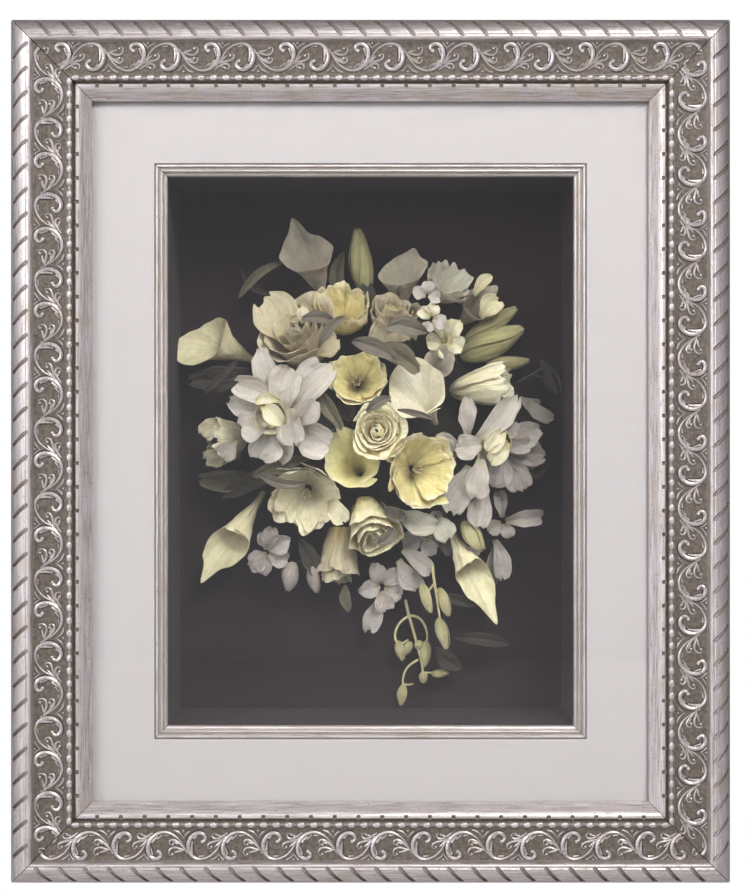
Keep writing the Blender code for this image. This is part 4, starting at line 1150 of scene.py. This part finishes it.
# Loose petals, each: finish, claw, tip, width, depths of both, bow, age
for number, (finish, base, tip, width, near, far, bow, age) in enumerate([
        (rose_cream, (292, 346), (262, 296), 32, 64, 60, 2, 0.1),
        (rose_cream, (306, 352), (338, 336), 22, 74, 66, 2, 0.2),
        (petal_cream, (303, 324), (300, 306), 9, 86, 92, 1, 0.0),
        (rose_cream, (392, 306), (374, 350), 24, 66, 62, -3, 0.2),
        (rose_cream, (400, 308), (414, 344), 20, 64, 60, 3, 0.3),
        (petal_white, (426, 296), (412, 290), 10, 60, 62, 0, 0.0),
        (petal_white, (426, 294), (428, 280), 10, 60, 62, 0, 0.2),
        (petal_white, (428, 296), (440, 300), 10, 60, 62, 0, 0.0),
        (petal_cream, (430, 318), (418, 308), 11, 62, 64, 0, 0.0),
        (petal_cream, (430, 316), (434, 303), 11, 62, 64, 0, 0.0),
        (petal_white, (432, 320), (446, 324), 12, 62, 64, 0, 0.0),
        (petal_white, (430, 322), (424, 332), 10, 62, 63, 0, 0.1),
        (calla_olive, (474, 296), (492, 276), 9, 44, 44, -2, 0.2),
        (calla_olive, (480, 318), (502, 300), 16, 40, 40, -3, 0.1),
        (petal_lilac, (526, 402), (554, 419), 13, 38, 36, 3, 0.2),
        (petal_lilac, (520, 398), (540, 404), 10, 36, 34, 3, 0.4),
        (lisianthus_cream, (330, 500), (344, 524), 16, 66, 64, 0, 0.1),
        (petal_lilac, (398, 560), (420, 590), 16, 38, 36, 2, 0.2),
        (petal_lilac, (402, 550), (432, 575), 14, 42, 40, -2, 0.3),
        (lisianthus_grey, (396, 512), (440, 526), 18, 56, 50, 3, 0.2),
        (lisianthus_grey, (430, 520), (450, 540), 16, 48, 46, -2, 0.1),
        (lisianthus_cream, (222, 420), (202, 440), 15, 56, 56, 2, 0.1),
        (lisianthus_cream, (228, 450), (204, 462), 14, 50, 50, -2, 0.3),
        (petal_white, (236, 440), (222, 462), 15, 64, 62, 2, 0.1),
        (petal_lilac, (482, 540), (470, 560), 10, 42, 40, 1, 0.8),
]):
    piece = laid(base, tip, width, near, far, bow=bow, age=age, seed=2.3 * number + 3, crumple=1.5)
    slot = "white_petal" if finish is petal_white else "cream_petal"
    free_piece(f"loose_petal_{number}", [piece], finish)


# The buds: closed lisianthus buds, each three or four petals wound round to a point.


def wound_bud(length, radius, seed, age=0.1, crumple=0.5, petals=4):
    """A closed bud, fuller below its middle."""
    pieces = []
    for number in range(petals):
        middle = GOLDEN_TURN * number + seed

        def shape(u, v):
            side = 2 * u - 1
            angle = middle + side * math.radians(80) + 1.1 * v
            r = (radius + 0.25 * number) * math.sin(math.pi * (0.03 + 0.94 * v**0.8)) ** 0.7
            r *= 1 + 0.07 * side + 0.10 * max(side, 0) ** 6
            return (r * math.cos(angle), r * math.sin(angle), length * (v - 0.5))

        pieces.append(sheet(shape, 8, 10, crumple, seed + number, age))
    return pieces


bud_green = petal_finish("bud_green", (0.26, 0.26, 0.13), (0.42, 0.40, 0.19), (0.56, 0.52, 0.28),
                         (0.28, 0.24, 0.12), 0.4, 0.6, 0.6)
bud_cream = petal_finish("bud_cream", (0.34, 0.33, 0.15), (0.62, 0.58, 0.32), (0.74, 0.69, 0.43),
                         (0.42, 0.37, 0.20), 0.4, 0.6, 0.4)
for name, finish, length, radius, spot, heading, lift in (
        ("bud_top", bud_green, 52, 7.8, (361, 261), 97, 10),
        ("bud_low", bud_cream, 28, 6.2, (473, 537), 305, 10)):
    bloom = bloom_of(name, wound_bud(length, radius, length, 0.1, 0.9), finish)
    set_bloom(bloom, name, spot, turned(heading, lift))


# The leaves: long narrow leaves dried olive, brown and violet-grey, folded along the midrib. Three are
# solids of their own and the others are tucked between the blooms.

leaf_olive = petal_finish("leaf_olive", (0.10, 0.09, 0.05), (0.19, 0.18, 0.11), (0.23, 0.21, 0.13),
                          (0.09, 0.075, 0.05), 0.3, 0.5, 0.7)
leaf_grey = petal_finish("leaf_grey", (0.12, 0.11, 0.08), (0.22, 0.205, 0.155), (0.30, 0.28, 0.22),
                         (0.11, 0.095, 0.075), 0.3, 0.5, 0.9)
leaf_dark = petal_finish("leaf_dark", (0.028, 0.025, 0.018), (0.055, 0.05, 0.035), (0.075, 0.065, 0.05),
                         (0.03, 0.025, 0.022), 0.3, 0.5, 0.6)


def leaf_at(name, finish, base, tip, width, near, far, node=None, **more):
    """A leaf laid from one pixel to another."""
    blade = laid(base, tip, width, near, far, **{
        "outline": pointed_petal, "fold": 0.16, "cup": 0.2, "crumple": 1.6, "age": 0.2, **more})
    piece = bloom_of(name, [blade], finish)
    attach(piece, "root")
    if node:
        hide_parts(node)


low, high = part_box("leaf_top_left")
leaf_at("leaf_top_left", leaf_olive, (284, 262), (237, 302), 7, -low[1] / MM - 4, -low[1] / MM - 8,
        "leaf_top_left", bow=5, seed=1.2)
low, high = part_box("leaf_left")
leaf_at("leaf_left", leaf_olive, (246, 474), (195, 482), 17, -low[1] / MM - 2, -low[1] / MM - 4,
        "leaf_left", bow=-3, arch=3, seed=2.2)
low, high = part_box("leaf_low_right")
leaf_at("leaf_low_right", leaf_dark, (453, 637), (513, 645), 10, -low[1] / MM - 2, -low[1] / MM - 5,
        "leaf_low_right", bow=-1, arch=2, seed=3.2)
# The tucked leaves: finish, pixels of the foot and the tip, width, depths of both, bow, age
for number, (finish, base, tip, width, near, far, bow, age) in enumerate([
        (leaf_grey, (336, 322), (301, 321), 10, 95, 93, 3, 0.3),
        (leaf_grey, (318, 348), (348, 315), 8, 93, 98, -3, 0.1),
        (leaf_grey, (427, 332), (381, 329), 14, 79, 80, 3, 0.0),
        (leaf_grey, (352, 341), (398, 363), 14, 81, 84, -3, 0.2),
        (leaf_olive, (374, 346), (422, 376), 16, 74, 78, -4, 0.2),
        (leaf_grey, (366, 412), (392, 397), 8, 88, 90, -2, 0.0),
        (leaf_grey, (397, 410), (436, 420), 5, 84, 86, -1, 0.2),
        (leaf_olive, (320, 390), (346, 432), 11, 70, 72, 2, 0.2),
        (leaf_dark, (318, 402), (336, 434), 9, 64, 66, 2, 0.0),
        (leaf_grey, (258, 474), (308, 482), 8, 78, 84, 4, 0.4),
        (leaf_olive, (308, 458), (250, 478), 12, 66, 60, 2, 0.3),
        (leaf_dark, (238, 360), (203, 396), 6, 58, 54, 0, 0.0),
        (leaf_dark, (250, 372), (184, 380), 20, 44, 40, -3, 0.0),
        (leaf_olive, (345, 585), (348, 612), 9, 40, 36, 1, 0.2),
        (leaf_dark, (440, 594), (484, 603), 9, 34, 30, 2, 0.0),
        (leaf_dark, (436, 648), (460, 668), 15, 30, 26, 2, 0.4),
        (leaf_olive, (336, 304), (343, 250), 11, 34, 28, -2, 0.7),
        (leaf_dark, (270, 296), (240, 270), 6, 32, 28, -4, 0.6),
        (leaf_grey, (394, 528), (376, 544), 9, 76, 78, -2, 0.1),
        (leaf_grey, (384, 508), (408, 516), 12, 66, 62, 2, 0.1),
        (leaf_dark, (290, 470), (216, 500), 14, 44, 36, 3, 0.2),
        (leaf_dark, (440, 500), (452, 560), 12, 38, 36, 3, 0.2),
        (leaf_dark, (340, 400), (352, 420), 14, 62, 62, 0, 0.0),
        (leaf_dark, (300, 540), (322, 580), 14, 36, 34, 0, 0.0),
        (leaf_dark, (520, 470), (548, 470), 14, 36, 32, 0, 0.0),
        (leaf_dark, (406, 360), (396, 300), 14, 46, 44, 0, 0.0),
        (leaf_dark, (372, 330), (366, 280), 14, 40, 36, 0, 0.0),
        (leaf_dark, (240, 460), (210, 430), 14, 36, 32, 0, 0.0),
        (leaf_dark, (546, 366), (558, 396), 7, 35, 33, 3, 0.5),
        (leaf_dark, (540, 360), (556, 372), 6, 35, 33, 2, 0.5),
]):
    leaf_at(f"tucked_leaf_{number}", finish, base, tip, width, near, far, bow=bow, age=age, seed=4.1 + number)


# The sprigs: buds on thin curling stems, hanging from the foot of the bouquet, and three fat buds at
# the right.


def stem(route, depth, thickness):
    """A round stem through pixels of the picture, thinning to its end."""
    bpy.ops.curve.primitive_nurbs_path_add()
    stalk = bpy.context.object
    curve = stalk.data
    curve.bevel_depth = thickness * MM
    curve.bevel_resolution = 2
    curve.resolution_u = 6
    curve.use_fill_caps = True
    curve.splines.clear()
    spline = curve.splines.new("NURBS")
    spline.points.add(len(route) - 1)
    spline.use_endpoint_u = True
    spline.order_u = 3
    for number, (point, pixel) in enumerate(zip(spline.points, route)):
        point.co = (*seen_at(*pixel, depth * MM), 1)
        point.radius = 1 - 0.35 * number / (len(route) - 1)
    only(stalk)
    bpy.ops.object.convert(target="MESH")
    stalk = bpy.context.object
    bpy.ops.object.transform_apply()
    stalk.data.attributes.new("age", "FLOAT", "POINT")
    return stalk


def hung_bud(hang, tip, radius, depth, seed, age, far=None):
    """A bud from the pixel that it hangs from to the pixel of its tip."""
    start = seen_at(*hang, depth * MM)
    run = seen_at(*tip, (far or depth) * MM) - start
    petals = wound_bud(run.length / MM, radius, seed, age, 0.45, 3)
    turn = Matrix.Translation(start + run / 2) @ run.to_track_quat("Z", "X").to_matrix().to_4x4()
    for petal in petals:
        petal.data.transform(turn)
    return petals


def sprig(name, finish, stems, buds):
    """A sprig: its stems joined to its buds, at the depth of its solid."""
    low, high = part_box(name)
    depth = -(low[1] + high[1]) / 2 / MM
    petals = []
    for number, (hang, tip, radius, age) in enumerate(buds):
        petals += hung_bud(hang, tip, radius, depth, 3.7 * number + len(name), age)
    bunch = bloom_of(name, petals, finish)
    stalks = [stem(route, depth, thickness) for thickness, route in stems]
    nothing_selected()
    for stalk in stalks:
        dress(stalk, finish)
        stalk.select_set(True)
    bunch.select_set(True)
    bpy.context.view_layer.objects.active = bunch
    bpy.ops.object.join()
    bpy.ops.object.shade_smooth()
    fix_bloom(bunch, name)


sprig("buds_right", bud_green, [
    (1.3, [(448, 352), (462, 353), (476, 350)]), (1.2, [(455, 355), (463, 346), (478, 333)]),
    (1.1, [(457, 350), (470, 361), (500, 364)])], [
    ((463, 344), (517, 308), 7, 0.3), ((460, 359), (524, 328), 10, 0.0), ((486, 366), (530, 361), 5, 0.1)])
sprig("spray_left", bud_cream, [
    (1.3, [(405, 600), (407, 610), (410, 620), (414, 634), (418, 650), (422, 664), (423, 676)]),
    (1.1, [(409, 616), (402, 620), (396, 628), (394, 638), (398, 645), (404, 643), (408, 640)]),
    (1.1, [(409, 616), (416, 616), (423, 622), (427, 632), (427, 642), (424, 644)]),
    (1.0, [(418, 660), (410, 664), (404, 672), (402, 682), (403, 686)]),
    (1.0, [(402, 684), (407, 686), (413, 684)]),
    (1.0, [(421, 673), (430, 673), (438, 673)])], [
    ((398, 641), (403, 661), 3.4, 0.0), ((411, 642), (404, 655), 2.8, 0.1), ((426, 641), (424, 668), 3.8, 0.0),
    ((416, 641), (421, 650), 2.8, 0.0), ((403, 684), (401, 706), 3, 0.1), ((431, 674), (449, 673), 2.6, 0.0),
    ((422, 672), (424, 684), 3, 0.3)])
sprig("spray_right", bud_cream, [
    (1.2, [(432, 566), (434, 582), (437, 600), (440, 622)]), (1.0, [(434, 584), (430, 588), (427, 594)]),
    (1.0, [(436, 590), (441, 594), (443, 600)])], [
    ((421, 583), (431, 613), 3.7, 0.1), ((439, 588), (449, 617), 3.6, 0.0), ((438, 618), (446, 650), 4.0, 0.0)])

# Two single buds at the lower left, and the dry twig at the right
free_piece("small_buds", hung_bud((293, 562), (287, 592), 5.6, 36, 2.2, 0.5) + hung_bud(
    (311, 566), (317, 594), 4.4, 34, 5.2, 0.7), petal_lilac)
for number, (route, thickness) in enumerate([
        ([(322, 556), (306, 560), (297, 562), (293, 566)], 0.8), ([(326, 560), (316, 562), (311, 568)], 0.8),
        ([(518, 382), (534, 374), (545, 366), (554, 370), (560, 382), (561, 394)], 0.9),
        ([(534, 376), (546, 378), (553, 384)], 0.6)]):
    twig = stem(route, 34, thickness)
    twig.name = f"twig_{number}"
    dress(twig, leaf_dark)
    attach(twig, "root")
